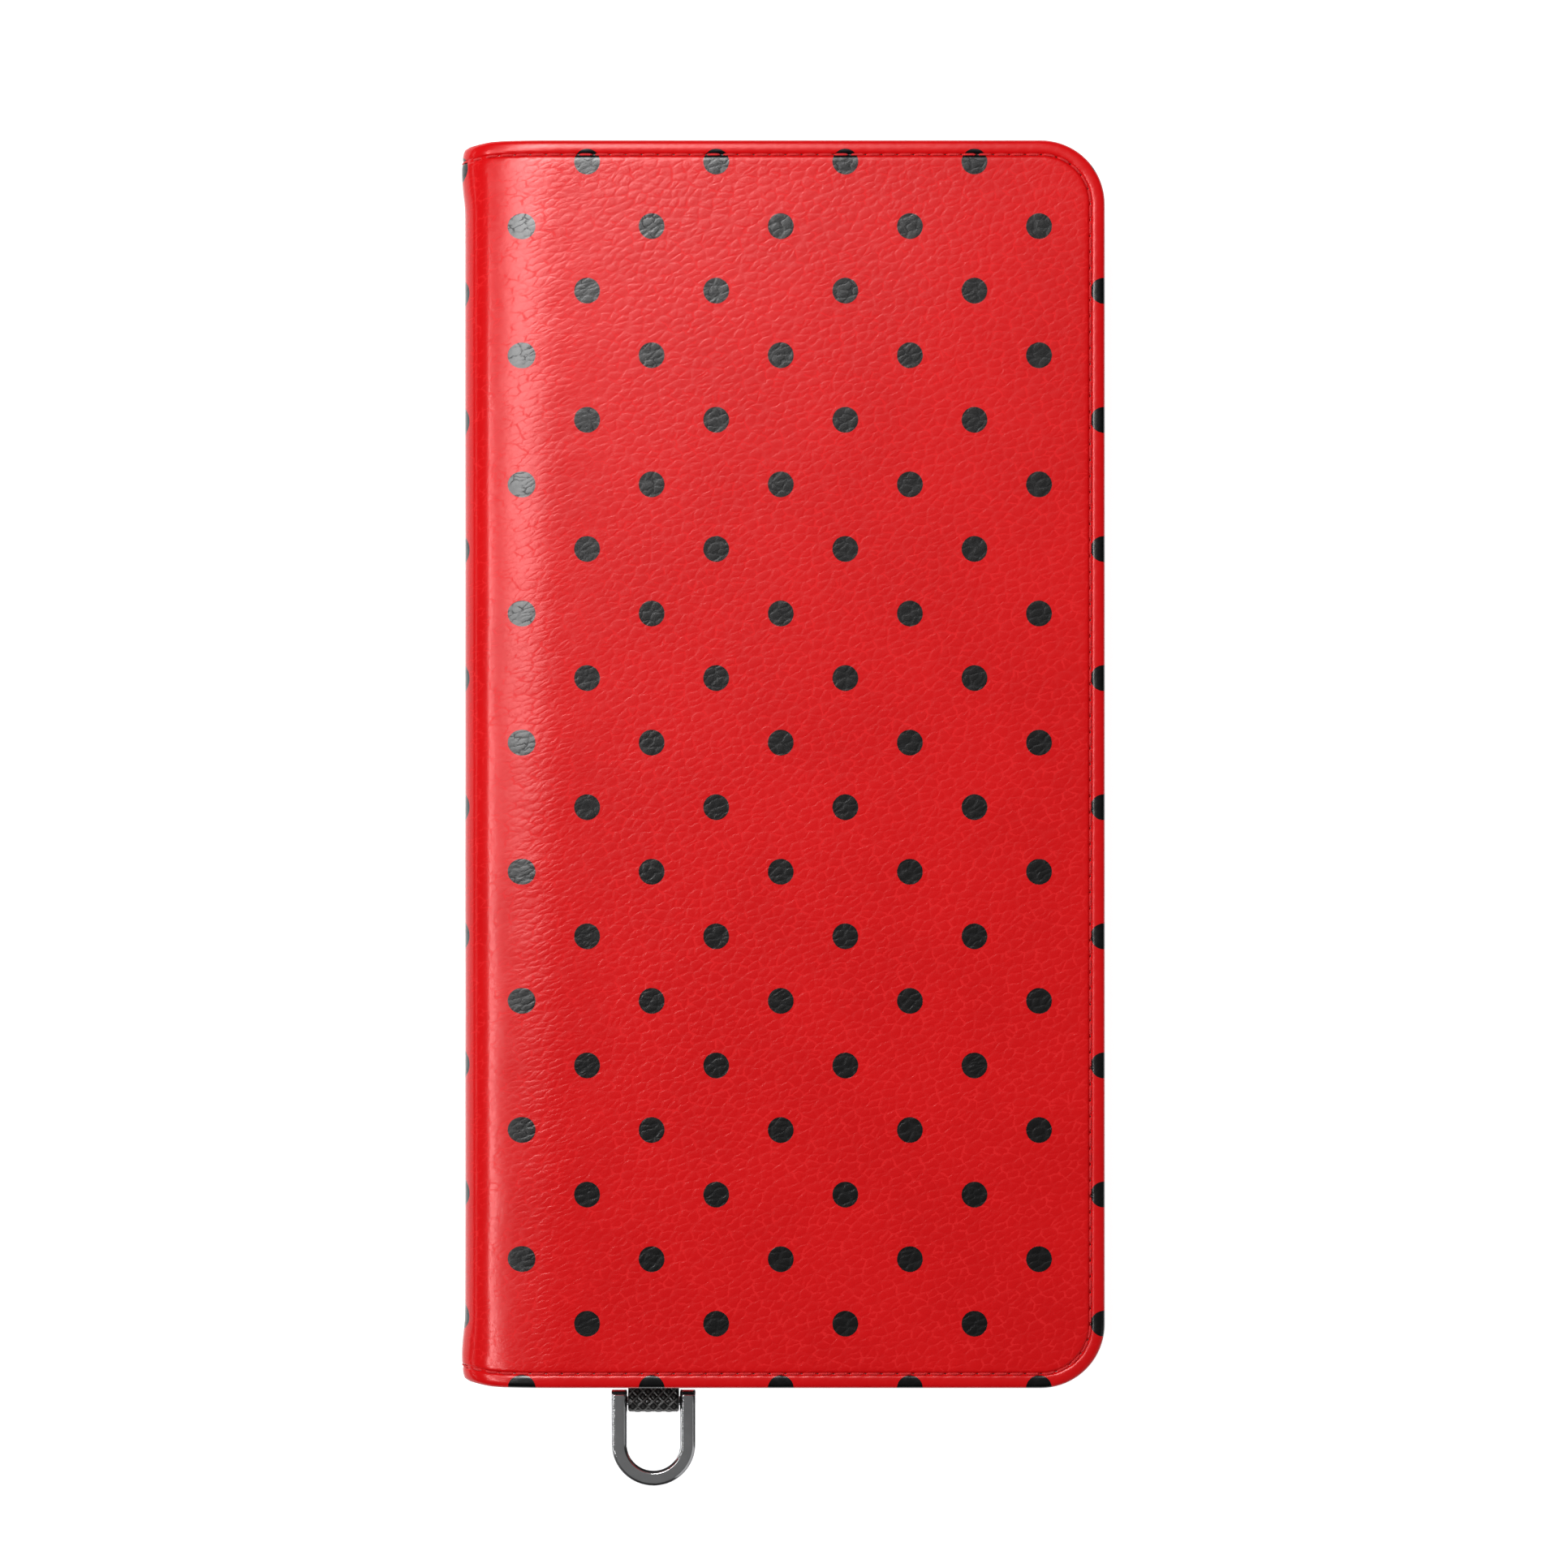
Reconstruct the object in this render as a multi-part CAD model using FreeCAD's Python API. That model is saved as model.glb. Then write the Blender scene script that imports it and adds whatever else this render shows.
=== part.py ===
import FreeCAD, Part
import math
import os

# Folio phone wallet case, closed and lying on its back cover.
# +X runs from the spine to the free edge, +Y along the spine towards the phone's top,
# +Z through the thickness. The origin is the centre of the back cover's outer face.
# All sizes are millimetres.

V = FreeCAD.Vector

# ---------------------------------------------------------------- driving dimensions

# the phone that the case is made for
PHONE_WIDTH = 76.0
PHONE_LENGTH = 162.0
PHONE_THICKNESS = 8.9
PHONE_CORNER = 9.5

# moulded shell that grips the phone
SHELL_WALL = 1.5
SHELL_BASE = 1.2
LIP_HEIGHT = 0.5
LIP_REACH = 0.7

# how far the covers stand out past the shell
END_MARGIN = 2.5
FREE_MARGIN = 2.0
SPINE_MARGIN = 6.4

# sheet thicknesses
SKIN = 0.8
BACK_BOARD = 1.2
BACK_LINING = 0.6
ADHESIVE = 0.2
CLOSED_GAP = 0.3
POCKET_SHEET = 0.4
FRONT_LINING = 0.5
FRONT_BOARD = 1.0
SPINE_STAY = 0.4
SPINE_LINING = 0.5

# plan shape of the covers
CORNER_RADIUS = 8.7
SEAM_INSET = 1.9
THREAD_WIDTH = 0.35
THREAD_DEPTH = 0.25
GROOVE_WIDTH = 0.45
THREAD_SUNK = 0.03
OUTER_EDGE_ROUND = 0.7
INNER_EDGE_ROUND = 0.4

# fold between a cover and the spine
FOLD_RADIUS = 4.0
MITRE_GAP_DEG = 1.0
BOARD_SETBACK = 4.0

# opening for the phone's cameras
WINDOW_WIDTH = 32.0
WINDOW_LENGTH = 40.0
WINDOW_CORNER = 7.0
WINDOW_MARGIN = 4.6

# card pockets and the note pocket behind them
CARD_POCKETS = 3
CARD_POCKET_LENGTH = 94.0
CARD_POCKET_CLOSED_X = 38.0
FIRST_MOUTH_X = -31.0
MOUTH_STEP = 7.0
THUMB_NOTCH_RADIUS = 9.0
THUMB_NOTCH_DEPTH = 4.0

# hidden closing magnets
MAGNET_LENGTH = 20.0
MAGNET_WIDTH = 5.0
MAGNET_PLAY = 0.1
MAGNET_X = 37.0
MAGNET_Y = 20.0

# lanyard ring and the webbing tab that holds it
RING_X = -18.15
PIN_Y = -88.55
PIN_Z = 1.6
PIN_RADIUS = 0.655
TAB_WIDTH = 7.07
TAB_THICKNESS = 1.2
TAB_TAIL = 9.0
LOOP_RADIUS = 1.59
LOOP_CLEARANCE = 0.055
RING_OUTER_WIDTH = 11.75
RING_INNER_WIDTH = 7.35
RING_THICKNESS = 2.0
RING_ARC_Y = -94.5
RING_TOP_Y = -86.9
RING_BEVEL = 0.42

# ---------------------------------------------------------------- worked-out sizes

SHELL_WIDTH = PHONE_WIDTH + 2 * SHELL_WALL
SHELL_LENGTH = PHONE_LENGTH + 2 * SHELL_WALL
CASE_WIDTH = SHELL_WIDTH + FREE_MARGIN + SPINE_MARGIN
CASE_LENGTH = SHELL_LENGTH + 2 * END_MARGIN
HALF_WIDTH = CASE_WIDTH / 2
HALF_LENGTH = CASE_LENGTH / 2

# levels of the back cover, from the table upwards
Z_BACK_BOARD = SKIN
Z_BACK_LINING = Z_BACK_BOARD + BACK_BOARD
Z_ADHESIVE = Z_BACK_LINING + BACK_LINING
Z_SHELL = Z_ADHESIVE + ADHESIVE
Z_PHONE = Z_SHELL + SHELL_BASE
Z_LIP = Z_PHONE + PHONE_THICKNESS
Z_SHELL_TOP = Z_LIP + LIP_HEIGHT

# levels of the front cover, continuing upwards
Z_POCKETS = Z_SHELL_TOP + CLOSED_GAP
Z_CASH_POCKET = Z_POCKETS + CARD_POCKETS * POCKET_SHEET
Z_FRONT_LINING = Z_CASH_POCKET + POCKET_SHEET
Z_FRONT_BOARD = Z_FRONT_LINING + FRONT_LINING
CASE_THICKNESS = Z_FRONT_BOARD + FRONT_BOARD + SKIN

SPINE_X = -HALF_WIDTH
FOLD_X = SPINE_X + FOLD_RADIUS
SHELL_CENTRE_X = HALF_WIDTH - FREE_MARGIN - SHELL_WIDTH / 2

SIDE_PLAY = 0.1
LINING_INSET = SKIN + SIDE_PLAY
BOARD_LEFT_X = FOLD_X + BOARD_SETBACK

WINDOW_RIGHT = SHELL_CENTRE_X + PHONE_WIDTH / 2 - WINDOW_MARGIN
WINDOW_TOP = PHONE_LENGTH / 2 - WINDOW_MARGIN


# ---------------------------------------------------------------- shared shapes

def box(x_low, x_high, y_low, y_high, z_low, z_high):
    """Block between two corners."""
    size = V(x_high - x_low, y_high - y_low, z_high - z_low)
    return Part.makeBox(size.x, size.y, size.z, V(x_low, y_low, z_low))


def edges_along(shape, direction):
    """Straight edges of a shape that run along one axis."""
    found = []
    for edge in shape.Edges:
        if isinstance(edge.Curve, Part.Line):
            if abs(edge.Curve.Direction.dot(direction)) > 0.999:
                found.append(edge)
    return found


def edges_at_level(shape, z):
    """Edges that lie wholly at one height."""
    found = []
    for edge in shape.Edges:
        bounds = edge.BoundBox
        if abs(bounds.ZMin - z) < 1e-4 and abs(bounds.ZMax - z) < 1e-4:
            found.append(edge)
    return found


def rounded_box(x_low, x_high, y_low, y_high, z_low, z_high, radius):
    """Block whose four upright edges are rounded."""
    block = box(x_low, x_high, y_low, y_high, z_low, z_high)
    return block.makeFillet(radius, edges_along(block, V(0, 0, 1)))


def cover_slab(inset, x_left, z_low, z_high):
    """Slab in the covers' plan shape: square at the spine side, round at the free edge."""
    right = HALF_WIDTH - inset
    top = HALF_LENGTH - inset
    radius = CORNER_RADIUS - inset
    arc_x = right - radius
    arc_y = top - radius
    bulge = radius * math.cos(math.pi / 4)
    upper_arc = Part.Arc(V(arc_x, top, z_low), V(arc_x + bulge, arc_y + bulge, z_low), V(right, arc_y, z_low))
    lower_arc = Part.Arc(V(right, -arc_y, z_low), V(arc_x + bulge, -arc_y - bulge, z_low), V(arc_x, -top, z_low))
    curves = [
        Part.LineSegment(V(x_left, top, z_low), V(arc_x, top, z_low)),
        upper_arc,
        Part.LineSegment(V(right, arc_y, z_low), V(right, -arc_y, z_low)),
        lower_arc,
        Part.LineSegment(V(arc_x, -top, z_low), V(x_left, -top, z_low)),
        Part.LineSegment(V(x_left, -top, z_low), V(x_left, top, z_low)),
    ]
    face = Part.Face(Part.Wire([curve.toShape() for curve in curves]))
    return face.extrude(V(0, 0, z_high - z_low))


def seam_band(width, z_low, z_high):
    """Narrow band that follows the covers' three sewn sides at the seam's distance from the edge."""
    outer = cover_slab(SEAM_INSET - width / 2, FOLD_X, z_low, z_high)
    inner = cover_slab(SEAM_INSET + width / 2, FOLD_X - 1.0, z_low - 1.0, z_high + 1.0)
    return outer.cut(inner)


def fold_strip(outer_radius, inner_radius, start_deg, end_deg, half_length):
    """Piece of the round fold between the back cover and the spine, swept along Y."""
    def point(radius, degrees):
        angle = math.radians(degrees)
        return V(FOLD_X + radius * math.cos(angle), -half_length, FOLD_RADIUS + radius * math.sin(angle))

    middle = (start_deg + end_deg) / 2
    outer_arc = Part.Arc(point(outer_radius, start_deg), point(outer_radius, middle), point(outer_radius, end_deg))
    inner_arc = Part.Arc(point(inner_radius, end_deg), point(inner_radius, middle), point(inner_radius, start_deg))
    curves = [
        outer_arc,
        Part.LineSegment(point(outer_radius, end_deg), point(inner_radius, end_deg)),
        inner_arc,
        Part.LineSegment(point(inner_radius, start_deg), point(outer_radius, start_deg)),
    ]
    face = Part.Face(Part.Wire([curve.toShape() for curve in curves]))
    return face.extrude(V(0, 2 * half_length, 0))


def cover_fold_half(outer_radius, inner_radius, half_length):
    """The half of a fold that belongs to the cover, from flat to the mitre."""
    return fold_strip(outer_radius, inner_radius, 225 + MITRE_GAP_DEG, 270, half_length)


def spine_fold_half(outer_radius, inner_radius, half_length):
    """The half of a fold that belongs to the spine, from the mitre to upright."""
    return fold_strip(outer_radius, inner_radius, 180, 225 - MITRE_GAP_DEG, half_length)


def flip(shape):
    """Mirror a back-cover shape through the middle of the thickness to the front cover."""
    return shape.mirror(V(0, 0, CASE_THICKNESS / 2), V(0, 0, 1))


def join(first, *others):
    """One solid from touching solids, without the seams between them."""
    return first.fuse(list(others)).removeSplitter()


# ---------------------------------------------------------------- covers

def camera_window(z_low, z_high, grow=0.0):
    """Block that fills the camera window, to be cut away from a layer."""
    return rounded_box(
        WINDOW_RIGHT - WINDOW_WIDTH - grow, WINDOW_RIGHT + grow,
        WINDOW_TOP - WINDOW_LENGTH - grow, WINDOW_TOP + grow,
        z_low, z_high, WINDOW_CORNER + grow)


def cover_skin(depth):
    """Outer leather of a cover: a shallow tray that wraps the board's three free edges."""
    tray = cover_slab(0.0, FOLD_X, 0.0, depth)
    for level, radius in ((0.0, OUTER_EDGE_ROUND), (depth, INNER_EDGE_ROUND)):
        rim_edges = [edge for edge in edges_at_level(tray, level) if edge.BoundBox.XMax > FOLD_X + 1.0]
        tray = tray.makeFillet(radius, rim_edges)
    tray = tray.cut(cover_slab(SKIN, FOLD_X - 1.0, SKIN, depth + 1.0))
    skin = join(tray, cover_fold_half(FOLD_RADIUS, FOLD_RADIUS - SKIN, HALF_LENGTH))
    return skin.cut(seam_band(GROOVE_WIDTH, -1.0, THREAD_DEPTH))


def cover_lining(z_low, thickness):
    """Inner lining sheet of a cover, carried into the fold as far as the mitre."""
    sheet = cover_slab(LINING_INSET, FOLD_X, z_low, z_low + thickness)
    outer_radius = FOLD_RADIUS - z_low
    fold = cover_fold_half(outer_radius, outer_radius - thickness, HALF_LENGTH - LINING_INSET)
    lining = join(sheet, fold)
    top = z_low + thickness
    return lining.cut(seam_band(GROOVE_WIDTH, top - THREAD_DEPTH, top + 1.0))


def cover_thread(lining_top):
    """Seam thread of a cover: one run sunk in the leather and one in the lining."""
    outer_run = seam_band(THREAD_WIDTH, THREAD_SUNK, THREAD_DEPTH)
    inner_run = seam_band(THREAD_WIDTH, lining_top - THREAD_DEPTH, lining_top - THREAD_SUNK)
    return Part.makeCompound([outer_run, inner_run])


def magnet_pair(z_low, z_high, play=0.0):
    """Two magnet bars near the free edge."""
    bars = []
    for y_centre in (-MAGNET_Y, MAGNET_Y):
        x_reach = MAGNET_WIDTH / 2 + play
        y_reach = MAGNET_LENGTH / 2 + play
        bars.append(box(
            MAGNET_X - x_reach, MAGNET_X + x_reach,
            y_centre - y_reach, y_centre + y_reach, z_low, z_high))
    return bars


def cover_board(z_low, thickness):
    """Stiff board between leather and lining, with pockets for the magnets."""
    board = cover_slab(LINING_INSET, BOARD_LEFT_X, z_low, z_low + thickness)
    return board.cut(magnet_pair(z_low - 1.0, z_low + thickness + 1.0, MAGNET_PLAY))


def tab_slot(play):
    """Block that fills the slot for the webbing tab's tail, to be cut away."""
    reach = TAB_WIDTH / 2 + play
    return box(
        RING_X - reach, RING_X + reach,
        -HALF_LENGTH - 1.0, -HALF_LENGTH + TAB_TAIL + play,
        Z_BACK_BOARD, Z_BACK_BOARD + TAB_THICKNESS)


def back_skin():
    skin = cover_skin(Z_ADHESIVE)
    return skin.cut([camera_window(-1.0, Z_SHELL), tab_slot(0.05)])


def back_board():
    board = cover_board(Z_BACK_BOARD, BACK_BOARD)
    return board.cut([camera_window(-1.0, Z_SHELL, SIDE_PLAY), tab_slot(0.2)])


def back_lining():
    return cover_lining(Z_BACK_LINING, BACK_LINING).cut(camera_window(-1.0, Z_SHELL))


def back_magnets():
    bars = magnet_pair(Z_BACK_BOARD + MAGNET_PLAY, Z_BACK_LINING - MAGNET_PLAY)
    return Part.makeCompound(bars)


def front_skin():
    return flip(cover_skin(CASE_THICKNESS - Z_FRONT_LINING))


def front_board():
    return flip(cover_board(SKIN, FRONT_BOARD))


def front_lining():
    return flip(cover_lining(SKIN + FRONT_BOARD, FRONT_LINING))


def front_magnets():
    bars = magnet_pair(SKIN + MAGNET_PLAY, SKIN + FRONT_BOARD - MAGNET_PLAY)
    return flip(Part.makeCompound(bars))


def front_thread():
    return flip(cover_thread(CASE_THICKNESS - Z_FRONT_LINING))


# ---------------------------------------------------------------- spine

def spine_layer(x_low, thickness, half_length):
    """Upright sheet of the spine with its half of both round folds."""
    depth = x_low - SPINE_X
    web = box(
        x_low, x_low + thickness, -half_length, half_length,
        FOLD_RADIUS, CASE_THICKNESS - FOLD_RADIUS)
    lower = spine_fold_half(FOLD_RADIUS - depth, FOLD_RADIUS - depth - thickness, half_length)
    return join(web, lower, flip(lower))


def end_seams(width, x_low, x_high, fold_play):
    """Bands across both ends of the spine at the seam's distance from its ends."""
    bands = []
    for side in (-1, 1):
        y_centre = side * (HALF_LENGTH - SEAM_INSET)
        bands.append(box(
            x_low, x_high, y_centre - width / 2, y_centre + width / 2,
            FOLD_RADIUS + fold_play, CASE_THICKNESS - FOLD_RADIUS - fold_play))
    return bands


def spine_skin():
    skin = spine_layer(SPINE_X, SKIN, HALF_LENGTH)
    return skin.cut(end_seams(GROOVE_WIDTH, SPINE_X - 1.0, SPINE_X + THREAD_DEPTH, 0.0))


def spine_thread():
    return Part.makeCompound(end_seams(THREAD_WIDTH, SPINE_X + THREAD_SUNK, SPINE_X + THREAD_DEPTH, 0.05))


def spine_stay():
    """Thin stiffener between the spine's leather and its lining."""
    reach = HALF_LENGTH - LINING_INSET
    return box(
        SPINE_X + SKIN, SPINE_X + SKIN + SPINE_STAY, -reach, reach,
        FOLD_RADIUS, CASE_THICKNESS - FOLD_RADIUS)


def spine_lining():
    return spine_layer(SPINE_X + SKIN + SPINE_STAY, SPINE_LINING, HALF_LENGTH - LINING_INSET)


# ---------------------------------------------------------------- phone shell

def shell_block(inset, z_low, z_high):
    """Block in the shell's plan shape, drawn in from its outside by an inset."""
    half_width = SHELL_WIDTH / 2 - inset
    half_length = SHELL_LENGTH / 2 - inset
    return rounded_box(
        SHELL_CENTRE_X - half_width, SHELL_CENTRE_X + half_width,
        -half_length, half_length, z_low, z_high, PHONE_CORNER + SHELL_WALL - inset)


def port_slot():
    """Opening in the bottom wall for the charging socket and loudspeaker."""
    slot = box(
        SHELL_CENTRE_X - 23.0, SHELL_CENTRE_X + 23.0,
        -HALF_LENGTH, -PHONE_LENGTH / 2 + 1.0, Z_PHONE + 1.4, Z_LIP - 1.4)
    return slot.makeFillet(2.6, edges_along(slot, V(0, 1, 0)))


def button_slot():
    """Opening in the free-side wall that leaves the phone's side keys free."""
    slot = box(
        SHELL_CENTRE_X + PHONE_WIDTH / 2 - 1.0, HALF_WIDTH,
        12.0, 58.0, Z_PHONE + 1.6, Z_LIP - 1.6)
    return slot.makeFillet(2.4, edges_along(slot, V(1, 0, 0)))


def phone_shell():
    """Tray with an inward lip that the phone snaps into."""
    shell = shell_block(0.0, Z_SHELL, Z_SHELL_TOP)
    shell = shell.makeFillet(0.6, edges_at_level(shell, Z_SHELL_TOP) + edges_at_level(shell, Z_SHELL))
    shell = shell.cut(shell_block(SHELL_WALL, Z_PHONE, Z_LIP))
    shell = shell.cut(shell_block(SHELL_WALL + LIP_REACH, Z_PHONE, Z_SHELL_TOP + 1.0))
    return shell.cut([camera_window(Z_SHELL - 1.0, Z_PHONE + 1.0), port_slot(), button_slot()])


def shell_adhesive():
    """Bonding sheet between the back lining and the shell."""
    pad = shell_block(3.0, Z_ADHESIVE, Z_SHELL)
    return pad.cut(camera_window(Z_ADHESIVE - 1.0, Z_SHELL + 1.0, 1.0))


# ---------------------------------------------------------------- pockets

def pocket_level(index):
    """Underside of one card pocket; the first is nearest the cover."""
    return Z_CASH_POCKET - (index + 1) * POCKET_SHEET


def pocket_mouth(index):
    """X of one card pocket's open edge; each mouth is a step behind the one before."""
    return FIRST_MOUTH_X + index * MOUTH_STEP


def pocket_seam(index, width, z_low, z_high):
    """Seam of one card pocket: along both ends, and along the closed edge of the last."""
    reach = CARD_POCKET_LENGTH / 2 - SEAM_INSET
    is_last = index == CARD_POCKETS - 1
    right = CARD_POCKET_CLOSED_X - SEAM_INSET if is_last else pocket_mouth(index + 1)
    runs = []
    for side in (-1, 1):
        y_centre = side * reach
        runs.append(box(
            pocket_mouth(index), right, y_centre - width / 2, y_centre + width / 2, z_low, z_high))
    if not is_last:
        return runs
    closed = box(right - width / 2, right + width / 2, -reach, reach, z_low, z_high)
    return [join(closed, *runs)]


def card_pocket(index):
    """Stitched sheet that holds one card, with a thumb notch in its mouth."""
    z_low = pocket_level(index)
    mouth = pocket_mouth(index)
    half = CARD_POCKET_LENGTH / 2
    sheet = rounded_box(mouth, CARD_POCKET_CLOSED_X, -half, half, z_low, z_low + POCKET_SHEET, 2.0)
    notch_x = mouth - THUMB_NOTCH_RADIUS + THUMB_NOTCH_DEPTH
    notch = Part.makeCylinder(THUMB_NOTCH_RADIUS, POCKET_SHEET + 2.0, V(notch_x, 0, z_low - 1.0))
    groove = pocket_seam(index, GROOVE_WIDTH, z_low - 1.0, z_low + POCKET_SHEET / 2)
    return sheet.cut([notch] + groove)


def pocket_thread():
    """Seam threads of all card pockets."""
    runs = []
    for index in range(CARD_POCKETS):
        z_low = pocket_level(index)
        for run in pocket_seam(index, THREAD_WIDTH, z_low + THREAD_SUNK, z_low + POCKET_SHEET / 2):
            runs.append(run)
    return Part.makeCompound(runs)


def cash_pocket():
    """Full-height sheet behind the card pockets, open towards the spine."""
    return cover_slab(4.0, FIRST_MOUTH_X - 5.0, Z_CASH_POCKET, Z_FRONT_LINING)


# ---------------------------------------------------------------- lanyard ring

def lanyard_tab():
    """Webbing looped round the pin, its tail sewn into the back cover's edge."""
    left = RING_X - TAB_WIDTH / 2
    along_x = V(1, 0, 0)
    eye = Part.makeCylinder(LOOP_RADIUS, TAB_WIDTH, V(left, PIN_Y, PIN_Z), along_x)
    tail = box(
        left, left + TAB_WIDTH, PIN_Y, -HALF_LENGTH + TAB_TAIL,
        Z_BACK_BOARD, Z_BACK_BOARD + TAB_THICKNESS)
    bore = Part.makeCylinder(PIN_RADIUS + LOOP_CLEARANCE, TAB_WIDTH + 2.0, V(left - 1.0, PIN_Y, PIN_Z), along_x)
    return join(eye, tail).cut(bore)


def ring_plan(width):
    """Stirrup shape seen from above: straight sides closed by a half circle."""
    z_low = PIN_Z - RING_THICKNESS / 2
    radius = width / 2
    right = V(RING_X + radius, RING_ARC_Y, z_low)
    left = V(RING_X - radius, RING_ARC_Y, z_low)
    right_top = V(RING_X + radius, RING_TOP_Y, z_low)
    left_top = V(RING_X - radius, RING_TOP_Y, z_low)
    curves = [
        Part.Arc(left, V(RING_X, RING_ARC_Y - radius, z_low), right),
        Part.LineSegment(right, right_top),
        Part.LineSegment(right_top, left_top),
        Part.LineSegment(left_top, left),
    ]
    face = Part.Face(Part.Wire([curve.toShape() for curve in curves]))
    return face.extrude(V(0, 0, RING_THICKNESS))


def shackle():
    """Bevelled metal stirrup whose two rounded legs carry the pin."""
    ring = ring_plan(RING_OUTER_WIDTH).cut(ring_plan(RING_INNER_WIDTH))
    leg_ends = [edge for edge in edges_along(ring, V(1, 0, 0)) if edge.BoundBox.YMin > RING_TOP_Y - 0.01]
    ring = ring.makeFillet(RING_THICKNESS / 2 - 0.05, leg_ends)
    half_thickness = RING_THICKNESS / 2
    rims = edges_at_level(ring, PIN_Z - half_thickness) + edges_at_level(ring, PIN_Z + half_thickness)
    rims = [edge for edge in rims if edge.BoundBox.YLength > 0.01]
    ring = ring.makeChamfer(RING_BEVEL, rims)
    start = V(RING_X - RING_OUTER_WIDTH, PIN_Y, PIN_Z)
    hole = Part.makeCylinder(PIN_RADIUS, 2 * RING_OUTER_WIDTH, start, V(1, 0, 0))
    return ring.cut(hole)


def shackle_pin():
    """Pin riveted across the stirrup's legs."""
    start = V(RING_X - RING_OUTER_WIDTH / 2, PIN_Y, PIN_Z)
    return Part.makeCylinder(PIN_RADIUS, RING_OUTER_WIDTH, start, V(1, 0, 0))


# ---------------------------------------------------------------- all sub-parts

def sub_parts():
    """Every named piece of the case."""
    pieces = {
        "back_skin": back_skin(),
        "back_board": back_board(),
        "back_lining": back_lining(),
        "back_stitching": cover_thread(Z_ADHESIVE),
        "back_magnets": back_magnets(),
        "shell_adhesive": shell_adhesive(),
        "phone_shell": phone_shell(),
        "lanyard_tab": lanyard_tab(),
        "spine_skin": spine_skin(),
        "spine_stay": spine_stay(),
        "spine_lining": spine_lining(),
        "spine_stitching": spine_thread(),
        "front_skin": front_skin(),
        "front_board": front_board(),
        "front_lining": front_lining(),
        "front_stitching": front_thread(),
        "front_magnets": front_magnets(),
        "cash_pocket": cash_pocket(),
        "pocket_stitching": pocket_thread(),
        "shackle": shackle(),
        "shackle_pin": shackle_pin(),
    }
    for index in range(CARD_POCKETS):
        pieces["card_pocket_%d" % (index + 1)] = card_pocket(index)
    return pieces


os.makedirs("parts", exist_ok=True)
for name, shape in sub_parts().items():
    shape.exportStep("parts/%s.step" % name)
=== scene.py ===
import math

import bpy
import numpy as np
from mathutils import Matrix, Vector, noise


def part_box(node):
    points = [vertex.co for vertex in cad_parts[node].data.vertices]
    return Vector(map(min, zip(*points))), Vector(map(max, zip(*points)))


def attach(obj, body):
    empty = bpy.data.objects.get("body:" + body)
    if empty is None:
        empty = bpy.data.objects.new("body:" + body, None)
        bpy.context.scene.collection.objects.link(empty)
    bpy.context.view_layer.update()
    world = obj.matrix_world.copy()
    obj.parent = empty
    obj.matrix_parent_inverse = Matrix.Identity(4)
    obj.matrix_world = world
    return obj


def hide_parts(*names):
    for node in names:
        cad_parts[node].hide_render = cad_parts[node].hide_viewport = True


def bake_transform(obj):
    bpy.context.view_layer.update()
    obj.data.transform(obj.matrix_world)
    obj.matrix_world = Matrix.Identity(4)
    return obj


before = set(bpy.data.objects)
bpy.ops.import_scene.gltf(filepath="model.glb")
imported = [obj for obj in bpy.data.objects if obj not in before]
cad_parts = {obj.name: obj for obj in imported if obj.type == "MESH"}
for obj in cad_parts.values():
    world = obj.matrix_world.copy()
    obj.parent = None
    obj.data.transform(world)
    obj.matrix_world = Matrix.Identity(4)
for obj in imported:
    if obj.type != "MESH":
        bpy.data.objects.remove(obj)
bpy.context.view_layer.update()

# Lengths in this script are millimetres in the frame's axes; meshes are written in metres.
MM = 0.001


def node_box(name):
    """Lowest and highest corner of a CAD node, in millimetres."""
    low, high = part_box(name)
    return Vector(low) / MM, Vector(high) / MM


# ---------------------------------------------------------------- sizes taken from the frame

FREE_X = node_box("front_skin")[1].x
HALF_LENGTH = node_box("front_skin")[1].y
THICKNESS = node_box("front_skin")[1].z
SPINE_X = node_box("spine_skin")[0].x
MID_Z = THICKNESS / 2
FRONT_DEPTH = THICKNESS - node_box("front_skin")[0].z
BACK_DEPTH = node_box("back_skin")[1].z
SPINE_INNER_X = -42.0
SPINE_DEPTH = SPINE_INNER_X - SPINE_X

# ---------------------------------------------------------------- leather sheet

FOLD_RADIUS = 4.0
CORNER_RADIUS = 8.7
SKIN_SHEET = 0.45
LINING_SHEET = 0.35
LINING_INSET = 0.9
LINING_FOLD_RADIUS = 1.2
FRONT_TILT = 13.0
BACK_TILT = 5.0
TILT_START_X = -30.7
SEAM_INSET = 2.0
STITCH_PITCH = 2.18
STEPS_PER_STITCH = 4

# camera window, as in the CAD back cover
WINDOW_LOW = (3.6, 36.4)
WINDOW_HIGH = (35.6, 76.4)
WINDOW_CORNER = 7.0
WINDOW_MARGIN = 1.9

# how far the sewn ends draw in towards the spine: distance round the section, and the amount
LEATHER_END_DROP = ((5.0, 6.5, 8.25, 9.8, 11.4, 14.4), (0.72, 0.6, 0.36, 0.13, 0.03, 0.0))
LINING_END_DROP = ((4.0, 7.0, 10.0), (0.7, 0.3, 0.0))

# how far the grid in a sheet's middle reaches into its round corners
CORE_REACH = 2.7

# share of a needle hole's pucker a quarter stitch away, and the deepest dip as a share of the cover's depth
BESIDE_HOLE = 0.35
DEEPEST = 0.42

# distance before and behind a point over which a section's slope is taken
SLOPE_REACH = 0.15

# how far the sewn ends of the spine stand proud, from where along the case, and over what length
FLARE_LIFT, FLARE_START, FLARE_LENGTH = 0.45, 75.5, 6.0

# where along the case the sheets start to draw in, and over what length
DRAW_START, DRAW_LENGTH = 60.0, 20.0

# printed dots, in unrolled millimetres
DOT_SPACING = 17.575
DOT_RADIUS = 1.76
DOT_ORIGIN = (-0.44, 2.93)


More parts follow.
